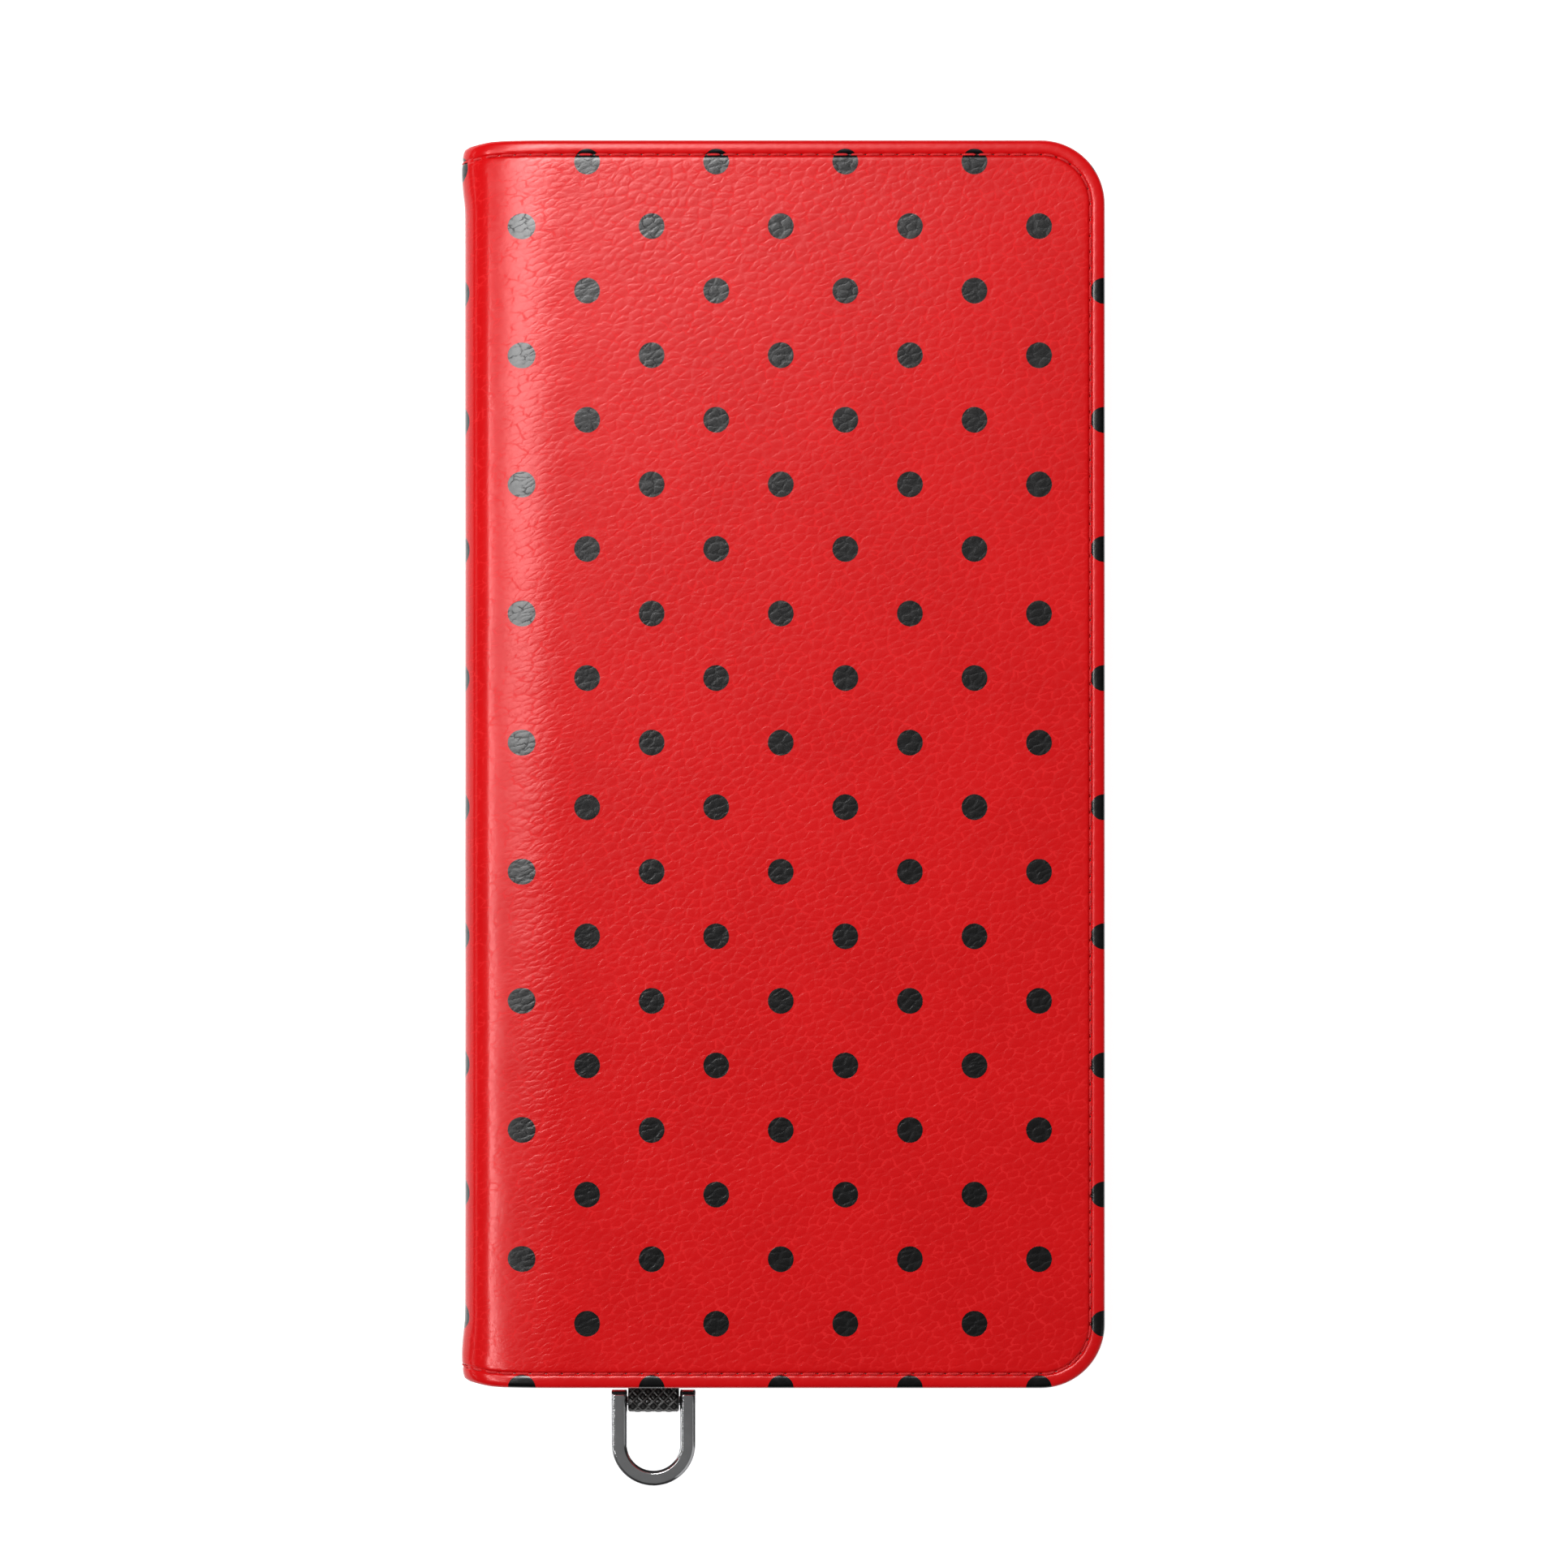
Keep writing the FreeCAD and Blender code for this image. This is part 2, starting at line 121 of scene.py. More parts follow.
def smooth(value):
    """Smooth step of values clipped to 0..1."""
    t = np.clip(value, 0.0, 1.0)
    return t * t * (3 - 2 * t)


def direction(degrees):
    """Unit vector at this many degrees from the first axis."""
    return np.array((math.cos(math.radians(degrees)), math.sin(math.radians(degrees))))


class Section:
    """Cross-section of one sheet, from the middle of the spine round a fold to the free edge.

    middle is the unrolled distance across the sheet, measured as x on the cover, at the spine's middle.
    """

    def __init__(self, points, outward):
        self.points = np.array(points, float)
        steps = np.linalg.norm(np.diff(self.points, axis=0), axis=1)
        self.along = np.concatenate(([0.0], np.cumsum(steps)))
        self.length = self.along[-1]
        self.middle = self.points[-1, 0] - self.length
        self.outward = outward

    def point(self, s):
        """x and z at distances s along the section."""
        return np.array([np.interp(s, self.along, column) for column in self.points.T])

    def place(self, s):
        """Positions (x, z) and unit normals (x, z) at distances s along the section."""
        ahead = self.point(np.clip(s + SLOPE_REACH, 0.0, self.length))
        behind = self.point(np.clip(s - SLOPE_REACH, 0.0, self.length))
        run, rise = ahead - behind
        size = np.hypot(run, rise)
        x, z = self.point(s)
        return x, z, -rise / size * self.outward, run / size * self.outward


def arc_points(centre_x, centre_z, radius, start_deg, end_deg, count):
    """Points on an arc; degrees are counted from +Z towards -X."""
    found = []
    for degrees in np.linspace(start_deg, end_deg, count):
        angle = math.radians(degrees)
        found.append((centre_x - radius * math.sin(angle), centre_z + radius * math.cos(angle)))
    return found


def outer_section(tilt_deg):
    """Leather: up the spine, round the fold, over the board's sloping margin and across the cover."""
    tilt = math.radians(tilt_deg)
    centre_x = SPINE_X + FOLD_RADIUS
    slope_end = centre_x - FOLD_RADIUS * math.sin(tilt)
    run = TILT_START_X - slope_end
    drop = run * math.tan(tilt) / 2
    centre_z = THICKNESS - drop - FOLD_RADIUS * math.cos(tilt)
    points = [(SPINE_X, MID_Z)]
    points += arc_points(centre_x, centre_z, FOLD_RADIUS, 90.0, tilt_deg, 60)
    for share in np.linspace(0.0, 1.0, 40)[1:]:
        points.append((slope_end + run * share, THICKNESS - drop * (1 - share) ** 2))
    points.append((FREE_X, THICKNESS))
    return Section(points, 1)


def inner_section(cover_z):
    """Lining: up the spine's inside, round the inner fold and across the cover."""
    centre_x = SPINE_INNER_X + LINING_FOLD_RADIUS
    points = [(SPINE_INNER_X, MID_Z)]
    points += arc_points(centre_x, cover_z - LINING_FOLD_RADIUS, LINING_FOLD_RADIUS, 90.0, 0.0, 30)
    points.append((FREE_X - LINING_INSET, cover_z))
    return Section(points, -1)


def new_object(name, vertices, faces, uvs=None, attributes=None):
    """Mesh object from millimetre vertices, smooth shaded, with optional sheet coordinates."""
    mesh = bpy.data.meshes.new(name)
    mesh.from_pydata((np.array(vertices, float) * MM).tolist(), [], faces)
    mesh.validate()
    if uvs is not None:
        layer = mesh.uv_layers.new(name="sheet")
        corners = np.zeros(len(mesh.loops), np.int32)
        mesh.loops.foreach_get("vertex_index", corners)
        layer.data.foreach_set("uv", np.array(uvs, np.float32)[corners].ravel())
    for label, values in (attributes or {}).items():
        attribute = mesh.attributes.new(label, "FLOAT", "POINT")
        attribute.data.foreach_set("value", np.array(values, np.float32))
    mesh.polygons.foreach_set("use_smooth", np.ones(len(mesh.polygons), bool))
    mesh.update()
    piece = bpy.data.objects.new(name, mesh)
    bpy.context.scene.collection.objects.link(piece)
    return piece


def apply_modifiers(piece):
    """Bakes a piece's modifiers into its mesh."""
    bpy.context.view_layer.update()
    graph = bpy.context.evaluated_depsgraph_get()
    final = bpy.data.meshes.new_from_object(
        piece.evaluated_get(graph), preserve_all_data_layers=True, depsgraph=graph)
    piece.modifiers.clear()
    old = piece.data
    piece.data = final
    bpy.data.meshes.remove(old)


def thicken(piece, thickness):
    """Turns a single-surface sheet into a closed one by adding its inner face."""
    solidify = piece.modifiers.new("thickness", "SOLIDIFY")
    solidify.thickness = thickness * MM
    solidify.offset = -1.0
    solidify.use_rim = True
    apply_modifiers(piece)


class Cover:
    """Half of a sheet that covers one cover and half the spine, built as rings inside its U-shaped edge.

    s runs along the section from the spine's middle, v along the case, d inwards from the edge.
    """

    def __init__(self, section, inset, mirrored, depth_at):
        self.section = section
        self.inset = inset
        self.mirrored = mirrored
        self.depth_at = depth_at
        self.corner = CORNER_RADIUS - inset
        self.half = HALF_LENGTH - inset
        self.straight = section.length - self.corner
        self.side = self.half - self.corner
        seam = SEAM_INSET - inset
        arc_length = (self.corner - seam) * math.pi / 2
        self.end_stitches = round(self.straight / STITCH_PITCH)
        self.corner_stitches = round(arc_length / STITCH_PITCH)
        self.side_stitches = round(2 * self.side / STITCH_PITCH)
        self.lay_out_rings()

    def lay_out_rings(self):
        """Centres and outward directions of all ring points, from the top end round to the bottom end."""
        end_steps = self.end_stitches * STEPS_PER_STITCH
        corner_steps = self.corner_stitches * STEPS_PER_STITCH
        side_steps = self.side_stitches * STEPS_PER_STITCH
        self.grid_s = np.linspace(0.0, self.straight, end_steps + 1)
        self.grid_v = np.linspace(-self.side, self.side, side_steps + 1)
        turn = np.linspace(math.pi / 2, 0.0, corner_steps + 1)[1:-1]
        centres = [(s, self.side, 0.0, 1.0) for s in self.grid_s]
        centres += [(self.straight, self.side, math.cos(a), math.sin(a)) for a in turn]
        centres += [(self.straight, v, 1.0, 0.0) for v in self.grid_v[::-1]]
        centres += [(self.straight, -self.side, math.cos(a), -math.sin(a)) for a in turn[::-1]]
        centres += [(s, -self.side, 0.0, -1.0) for s in self.grid_s[::-1]]
        self.centres = np.array(centres)

    def ring(self, d):
        """s and v of every point of the ring at distance d from the edge."""
        s, v, out_s, out_v = self.centres.T
        reach = self.corner - d
        return s + reach * out_s, v + reach * out_v

    def unrolled(self, s):
        """Unrolled distance across the sheet, continuous through both folds."""
        if self.mirrored:
            return outer_section(FRONT_TILT).middle - s
        return self.section.middle + s

    def at(self, s, v, w):
        """Points at height w above the sheet."""
        x, z, nx, nz = self.section.place(np.asarray(s, float))
        w = w + self.flare(s, v)
        x = x + w * nx
        z = z + w * nz
        if self.mirrored:
            z = THICKNESS - z
        v = np.broadcast_to(v, x.shape)
        drop = np.interp(s, *(LEATHER_END_DROP if self.section.outward > 0 else LINING_END_DROP))
        y = v - np.sign(v) * drop * smooth((np.abs(v) - DRAW_START) / DRAW_LENGTH)
        return np.stack([x, y, z], axis=-1)

    def flare(self, s, v):
        """How far the sewn ends of the spine stand proud."""
        along = np.abs(v) + self.inset
        lift = FLARE_LIFT * smooth((along - FLARE_START) / FLARE_LENGTH)
        lift = lift * (1 - 0.35 * smooth((along - 82.8) / 2.0))
        across = 1 - smooth((np.asarray(s) - 4.5) / 3.5)
        return lift * across * self.section.outward


class Sheet:
    """Mesh of one cover's sheet while it is built, with its unrolled coordinates and its marks."""

    def __init__(self, cover, relief):
        self.cover = cover
        self.relief = relief
        self.vertices, self.faces, self.uvs, self.grain, self.crease = [], [], [], [], []

    def add(self, s, v, height, grain, crease=0.0):
        """Adds points of the sheet and returns their numbers."""
        points = self.cover.at(s, v, height).reshape(-1, 3)
        first = len(self.vertices)
        self.vertices.extend(points.tolist())
        self.uvs.extend(np.stack([self.cover.unrolled(s), v], axis=-1).reshape(-1, 2).tolist())
        self.grain.extend([grain] * len(points))
        self.crease.extend(np.broadcast_to(crease, len(points)).tolist())
        return list(range(first, len(self.vertices)))


def build_sheet(cover, profile, coarse_from, relief):
    """Sheet of one cover, ring by ring from its edge inwards, and then its middle.

    profile rows are (d, w, share, pucker, grain): distance in from the edge, height, share of the
    cover's depth that the ring sinks, depth added at each needle hole, and how much grain shows there.
    """
    sheet = Sheet(cover, relief)
    phase = np.arange(len(cover.centres)) % STEPS_PER_STITCH
    at_hole = np.where(phase == 0, 1.0, np.where(phase == 2, 0.0, BESIDE_HOLE))
    previous = None
    for number, (d, w, share, pucker, grain) in enumerate(profile):
        step = 1 if number < coarse_from else 2
        s, v = cover.ring(d)
        depth = cover.depth_at(s)
        crease = pucker * at_hole
        height = w - share * depth if share else np.maximum(w, -DEEPEST * depth)
        height = height - crease + relief(cover.unrolled(s), v, d)
        ring = sheet.add(s[::step], v[::step], height[::step], grain, crease[::step])
        if previous:
            sheet.faces += ring_faces(previous, ring)
        previous = ring
    add_middle(sheet, previous)
    if cover.mirrored != (cover.section.outward < 0):
        sheet.faces = [face[::-1] for face in sheet.faces]
    return sheet


def ring_faces(outer, inner):
    """Faces between two rings, the inner with as many points or half as many segments."""
    if len(outer) == len(inner):
        return [[outer[i], inner[i], inner[i + 1], outer[i + 1]] for i in range(len(outer) - 1)]
    faces = []
    for j in range(len(inner) - 1):
        a, b, c = outer[2 * j], outer[2 * j + 1], outer[2 * j + 2]
        faces += [[a, inner[j], b], [b, inner[j], inner[j + 1]], [b, inner[j + 1], c]]
    return faces


def band(first, second):
    """Faces between two closed loops of equally many points."""
    faces = []
    for n in range(len(first)):
        m = (n + 1) % len(first)
        faces.append([first[n], first[m], second[m], second[n]])
    return faces


def bands(count, loops):
    """Faces between each two of several closed loops that follow each other in a mesh's vertices."""
    faces = []
    for n in range(loops - 1):
        faces += band(range(n * count, (n + 1) * count), range((n + 1) * count, (n + 2) * count))
    return faces


def tube_faces(starts, steps):
    """Faces between strips of this many points each, side by side and closed round."""
    faces = []
    for here, there in zip(starts, starts[1:] + starts[:1]):
        faces += [[here + k, here + k + 1, there + k + 1, there + k] for k in range(steps - 1)]
    return faces


def turned_over(faces):
    """The same faces seen from their other side, each with the same first corner."""
    return [face[:1] + face[:0:-1] for face in faces]


def add_middle(sheet, last_ring):
    """Middle of the sheet: a plain grid whose border has one point for each point of the last ring."""
    cover = sheet.cover
    extra = np.linspace(0.0, CORE_REACH, cover.corner_stitches * STEPS_PER_STITCH // 4 + 1)[1:]
    s_lines = np.concatenate((cover.grid_s[::2], cover.straight + extra))
    v_lines = np.concatenate((-cover.side - extra[::-1], cover.grid_v[::2], cover.side + extra))
    grid_s, grid_v = np.meshgrid(s_lines, v_lines, indexing="ij")
    height = sheet.relief(cover.unrolled(grid_s), grid_v, cover.corner)
    numbers = np.reshape(sheet.add(grid_s, grid_v, height, 1.0), grid_s.shape).tolist()
    border = [row[-1] for row in numbers] + numbers[-1][-2::-1] + [row[0] for row in numbers[-2::-1]]
    sheet.faces += ring_faces(last_ring, border)
    hole = window_cells(cover, s_lines, v_lines) if cover.mirrored else None
    for i in range(len(s_lines) - 1):
        for j in range(len(v_lines) - 1):
            if hole and hole[0] <= i < hole[1] and hole[2] <= j < hole[3]:
                continue
            near, far = numbers[i], numbers[i + 1]
            sheet.faces.append([near[j], far[j], far[j + 1], near[j + 1]])
    if hole:
        add_window_edge(sheet, hole, s_lines, v_lines, numbers)


def window_cells(cover, s_lines, v_lines):
    """Grid lines of the block of cells that gives way to the camera window."""
    to_s = -cover.section.middle
    i_low = int(np.searchsorted(s_lines, WINDOW_LOW[0] - WINDOW_MARGIN + to_s)) - 1
    i_high = int(np.searchsorted(s_lines, WINDOW_HIGH[0] + WINDOW_MARGIN + to_s))
    j_low = int(np.searchsorted(v_lines, WINDOW_LOW[1] - WINDOW_MARGIN)) - 1
    j_high = int(np.searchsorted(v_lines, WINDOW_HIGH[1] + WINDOW_MARGIN))
    return i_low, min(i_high, len(s_lines) - 1), j_low, min(j_high, len(v_lines) - 1)


def add_window_edge(sheet, hole, s_lines, v_lines, numbers):
    """Rings from the cut grid cells to the camera window's edge, turned over it."""
    i_low, i_high, j_low, j_high = hole
    loop = [(i, j_low) for i in range(i_low, i_high)]
    loop += [(i_high, j) for j in range(j_low, j_high)]
    loop += [(i, j_high) for i in range(i_high, i_low, -1)]
    loop += [(i_low, j) for j in range(j_high, j_low, -1)]
    middle = sheet.cover.section.middle
    rim = np.array([(s_lines[i] + middle, v_lines[j]) for i, j in loop])
    nearest = np.clip(rim, np.array(WINDOW_LOW) + WINDOW_CORNER, np.array(WINDOW_HIGH) - WINDOW_CORNER)
    away = rim - nearest
    away /= np.linalg.norm(away, axis=1)[:, None]
    previous = [numbers[i][j] for i, j in loop]
    for offset, w, grain in WINDOW_EDGE if sheet.cover.section.outward > 0 else LINING_WINDOW_EDGE:
        point = nearest + away * (WINDOW_CORNER + offset)
        current = sheet.add(point[:, 0] - middle, point[:, 1], w, grain)
        sheet.faces += band(previous, current)
        previous = current


# distance out from the window's edge, height, grain
WINDOW_EDGE = [
    (1.5, 0.0, 0.8), (0.9, -0.03, 0.4), (0.5, -0.1, 0.2), (0.22, -0.25, 0.2), (0.05, -0.5, 0.2),
    (0.0, -0.85, 0.2), (0.0, -1.6, 0.2), (0.0, -2.2, 0.2), (0.25, -2.3, 0.2),
]
LINING_WINDOW_EDGE = [(1.2, 0.0, 1.0), (0.5, 0.0, 1.0), (0.28, -0.04, 1.0), (0.16, -0.15, 1.0)]

# d, w, share of depth, pucker at needle holes, grain
SKIN_PROFILE = [
    (3.2, 0.62, 1.0, 0.0, 0.2),
    (2.2, 0.58, 1.0, 0.0, 0.2),
    (1.35, 0.42, 1.0, 0.0, 0.2),
    (1.0, 0.1, 1.0, 0.0, 0.2),
    (0.75, 0.01, 1.0, 0.0, 0.2),
    (0.5, 0.03, 1.0, 0.0, 0.2),
    (0.28, 0.14, 1.0, 0.0, 0.2),
    (0.1, 0.36, 1.0, 0.0, 0.2),
    (0.0, 0.0, 0.62, 0.0, 0.2),
    (0.0, -0.78, 0.0, 0.0, 0.2),
    (0.05, -0.5, 0.0, 0.0, 0.2),
    (0.16, -0.31, 0.0, 0.0, 0.2),
    (0.32, -0.19, 0.0, 0.0, 0.2),
    (0.52, -0.12, 0.0, 0.0, 0.25),
    (0.78, -0.075, 0.0, 0.0, 0.25),
    (1.1, -0.05, 0.0, 0.0, 0.25),
    (1.4, -0.055, 0.0, 0.01, 0.2),
    (1.6, -0.08, 0.0, 0.02, 0.15),
    (1.74, -0.12, 0.0, 0.06, 0.1),
    (1.84, -0.19, 0.0, 0.13, 0.0),
    (1.93, -0.235, 0.0, 0.19, 0.0),
    (2.0, -0.245, 0.0, 0.2, 0.0),
    (2.07, -0.235, 0.0, 0.19, 0.0),
    (2.15, -0.18, 0.0, 0.12, 0.1),
    (2.24, -0.09, 0.0, 0.04, 0.3),
    (2.35, -0.03, 0.0, 0.02, 0.5),
    (2.5, -0.005, 0.0, 0.01, 0.7),
    (2.9, 0.0, 0.0, 0.0, 0.9),
    (3.6, 0.0, 0.0, 0.0, 1.0),
    (4.3, 0.0, 0.0, 0.0, 1.0),
]
SKIN_COARSE_FROM = 29

LINING_PROFILE = [
    (0.02, -0.3, 0.0, 0.0, 1.0),
    (0.0, -0.2, 0.0, 0.0, 1.0),
    (0.04, -0.08, 0.0, 0.0, 1.0),
    (0.16, -0.01, 0.0, 0.0, 1.0),
    (0.4, 0.0, 0.0, 0.0, 1.0),
    (0.75, -0.03, 0.0, 0.02, 1.0),
    (0.92, -0.09, 0.0, 0.06, 1.0),
    (1.1, -0.13, 0.0, 0.1, 1.0),
    (1.28, -0.09, 0.0, 0.06, 1.0),
    (1.5, -0.03, 0.0, 0.02, 1.0),
    (1.8, 0.0, 0.0, 0.0, 1.0),
    (3.4, 0.0, 0.0, 0.0, 1.0),
]
LINING_COARSE_FROM = 11


# lengths across and along the sheet of its slow waves and its fold wrinkles, noise layer, and height
SLOW_WAVES = (16.0, 22.0, 3.1, 0.035)
FOLD_WRINKLES = (5.5, 3.2, 8.4, 0.03)


def wave(u, v, kind):
    """Height of one kind of wave at one place on the sheet."""
    across, along, layer, height = kind
    return height * noise.noise(Vector((u / across, v / along, layer)))


def no_relief(u, v, d):
    """A sheet with no unevenness of its own."""
    return np.zeros(np.broadcast(u, v).shape)


def leather_relief(u, v, d):
    """Slow waves of the leather over the board, and soft wrinkles beside the fold."""
    u, v = np.broadcast_arrays(u, v)
    level = smooth((d - 2.4) / 2.0)
    if level == 0:
        return np.zeros(u.shape)
    waves = np.zeros(u.size)
    for n, (a, b) in enumerate(zip(u.ravel(), v.ravel())):
        waves[n] = wave(a, b, SLOW_WAVES) + wave(a, b, FOLD_WRINKLES) * wrinkle_share(a)
    return level * waves.reshape(u.shape)


def wrinkle_share(u):
    """How strongly the leather wrinkles at one distance across the sheet."""
    rise = min(max((u + 46.0) / 6.0, 0.0), 1.0)
    fall = min(max((-16.0 - u) / 14.0, 0.0), 1.0)
    return rise * fall


# ---------------------------------------------------------------- stitches

THREAD_HALF_WIDTH = 0.165
THREAD_HALF_HEIGHT = 0.12

# where in its pitch a stitch starts, and the share of the pitch that it takes
STITCH_START, STITCH_SHARE = 0.09, 0.82


class Threads:
    """Mesh of many short round threads while it is built."""

    def __init__(self, sides):
        self.sides = sides
        self.vertices, self.faces, self.uvs = [], [], []

    def add(self, centre, across, lift, shares, pitch, downwards=False):
        """Adds one thread along its centre points; across and lift are its half axes there."""
        first, steps = len(self.vertices), len(shares)
        for side in range(self.sides):
            angle = 2 * math.pi * side / self.sides
            self.vertices.extend((centre + across * math.cos(angle) + lift * math.sin(angle)).tolist())
            self.uvs.extend((share * pitch, side / self.sides) for share in shares)
        starts = [first + side * steps for side in range(self.sides)]
        ends = [start + steps - 1 for start in starts]
        tube = tube_faces(starts, steps)
        if downwards:
            self.faces += tube + [starts, ends[::-1]]
        else:
            self.faces += turned_over(tube) + [starts[::-1], ends]

    def mesh(self, name):
        """Object with all threads."""
        return new_object(name, self.vertices, self.faces, self.uvs)


def unit(vectors):
    """Vectors scaled to length one."""
    return vectors / np.linalg.norm(vectors, axis=1)[:, None]


def stitches(name, cover, seam, top, dip):
    """All stitches of one cover's seam, each a short arched thread that dives into its two holes."""
    s_path, v_path = cover.ring(seam)
    shares = np.linspace(0.0, 1.0, 11)
    rise = 1 - np.abs(2 * shares - 1) ** 3.2
    girth = (0.72 + 0.28 * np.sin(math.pi * shares) ** 0.5)[:, None]
    threads = Threads(8)
    for first in range(0, len(s_path) - 1, STEPS_PER_STITCH):
        knots = np.arange(first, first + STEPS_PER_STITCH + 1)
        where = first + (STITCH_START + STITCH_SHARE * shares) * STEPS_PER_STITCH
        s = np.interp(where, knots, s_path[knots])
        v = np.interp(where, knots, v_path[knots])
        height = top - dip * (1 - rise)
        centre = cover.at(s, v, height)
        up = unit(cover.at(s, v, height + 0.1) - centre)
        ahead = np.gradient(centre, axis=0)
        across = unit(np.cross(ahead, up))
        lift = unit(np.cross(across, ahead))
        threads.add(centre, across * THREAD_HALF_WIDTH * girth, lift * THREAD_HALF_HEIGHT * girth,
                    shares, STITCH_PITCH)
    return threads.mesh(name)


def combine(name, pieces):
    """One object from several mesh objects."""
    bpy.ops.object.select_all(action="DESELECT")
    for piece in pieces:
        piece.select_set(True)
    bpy.context.view_layer.objects.active = pieces[0]
    bpy.ops.object.join()
    pieces[0].name = name
    return pieces[0]


# ---------------------------------------------------------------- node materials

class Nodes:
    """Short way to write a material's node tree."""

    def __init__(self, name):
        self.material = bpy.data.materials.new(name)
        self.material.use_nodes = True
        self.tree = self.material.node_tree
        self.shader = self.tree.nodes["Principled BSDF"]

    def add(self, kind, settings=None, **inputs):
        """A node with its settings and its inputs, each a number, a colour or another socket."""
        node = self.tree.nodes.new(kind)
        for key, value in (settings or {}).items():
            setattr(node, key, value)
        for key, value in inputs.items():
            self.feed(node.inputs[key.replace("_", " ")], value)
        return node

    def feed(self, socket, value):
        """Sets or links one input."""
        if isinstance(value, bpy.types.NodeSocket):
            self.tree.links.new(value, socket)
        else:
            socket.default_value = value

    def math(self, operation, first, second=0.0, third=0.0):
        """Result of one maths step."""
        node = self.tree.nodes.new("ShaderNodeMath")
        node.operation = operation
        for socket, value in zip(node.inputs, (first, second, third)):
            self.feed(socket, value)
        return node.outputs[0]

    def ramp(self, value, low, high, out_low=0.0, out_high=1.0):
        """Value mapped smoothly from one range to another, clipped."""
        node = self.add("ShaderNodeMapRange", {"interpolation_type": "SMOOTHSTEP"})
        for socket, number in zip(node.inputs[:5], (value, low, high, out_low, out_high)):
            self.feed(socket, number)
        return node.outputs[0]

    def mix(self, factor, first, second):
        """Blend of two colours."""
        node = self.add("ShaderNodeMix", {"data_type": "RGBA"})
        self.feed(node.inputs[0], factor)
        self.feed(node.inputs[6], first)
        self.feed(node.inputs[7], second)
        return node.outputs[2]

    def noise(self, where, scale, detail=2.0, roughness=0.5):
        """Soft noise between 0 and 1."""
        node = self.add("ShaderNodeTexNoise", Vector=where, Scale=scale, Detail=detail, Roughness=roughness)
        return node.outputs[0]

    def mark(self, name):
        """A number that the mesh carries at its points."""
        return self.add("ShaderNodeAttribute", {"attribute_name": name}).outputs["Fac"]

    def bump(self, height, distance, below=None):
        """Surface normal tilted by a height; distance is the depth in millimetres where it is one."""
        node = self.add("ShaderNodeBump", Strength=1.0, Distance=distance * MM, Height=height)
        if below is not None:
            self.feed(node.inputs["Normal"], below)
        return node.outputs[0]

    def finish(self, **inputs):
        """Sets the shader's own inputs and returns the material."""
        for key, value in inputs.items():
            self.feed(self.shader.inputs[key.replace("_", " ")], value)
        return self.material


def sheet_coordinates(nodes):
    """Unrolled millimetre coordinates of a sheet, as a vector and its two parts."""
    uv = nodes.add("ShaderNodeUVMap", {"uv_map": "sheet"}).outputs[0]
    parts = nodes.add("ShaderNodeSeparateXYZ", Vector=uv)
    return uv, parts.outputs[0], parts.outputs[1]


def object_millimetres(nodes):
    """Object coordinates in millimetres."""
    place = nodes.add("ShaderNodeTexCoord").outputs["Object"]
    return nodes.add("ShaderNodeVectorMath", {"operation": "SCALE"}, Vector=place, Scale=1 / MM).outputs[0]


def dot_mask(nodes, u, v, edge_noise):
    """1 inside the printed dots, which sit on a square lattice turned by 45 degrees."""
    across = nodes.math("SUBTRACT", u, DOT_ORIGIN[0])
    along = nodes.math("SUBTRACT", v, DOT_ORIGIN[1])
    parts = []
    for operation in ("ADD", "SUBTRACT"):
        diagonal = nodes.math(operation, across, along)
        cell = nodes.math("DIVIDE", diagonal, DOT_SPACING)
        nearest = nodes.math("ROUND", cell)
        away = nodes.math("SUBTRACT", cell, nearest)
        parts.append(nodes.math("MULTIPLY", away, away))
    total = nodes.math("ADD", parts[0], parts[1])
    distance = nodes.math("MULTIPLY", nodes.math("SQRT", total), DOT_SPACING / math.sqrt(2))
    wavy = nodes.math("MULTIPLY_ADD", edge_noise, 0.07, distance)
    return nodes.ramp(wavy, DOT_RADIUS - 0.04, DOT_RADIUS + 0.04, 1.0, 0.0)


# turn of the pebbles' long side, in radians
PEBBLE_SLANT = -0.38


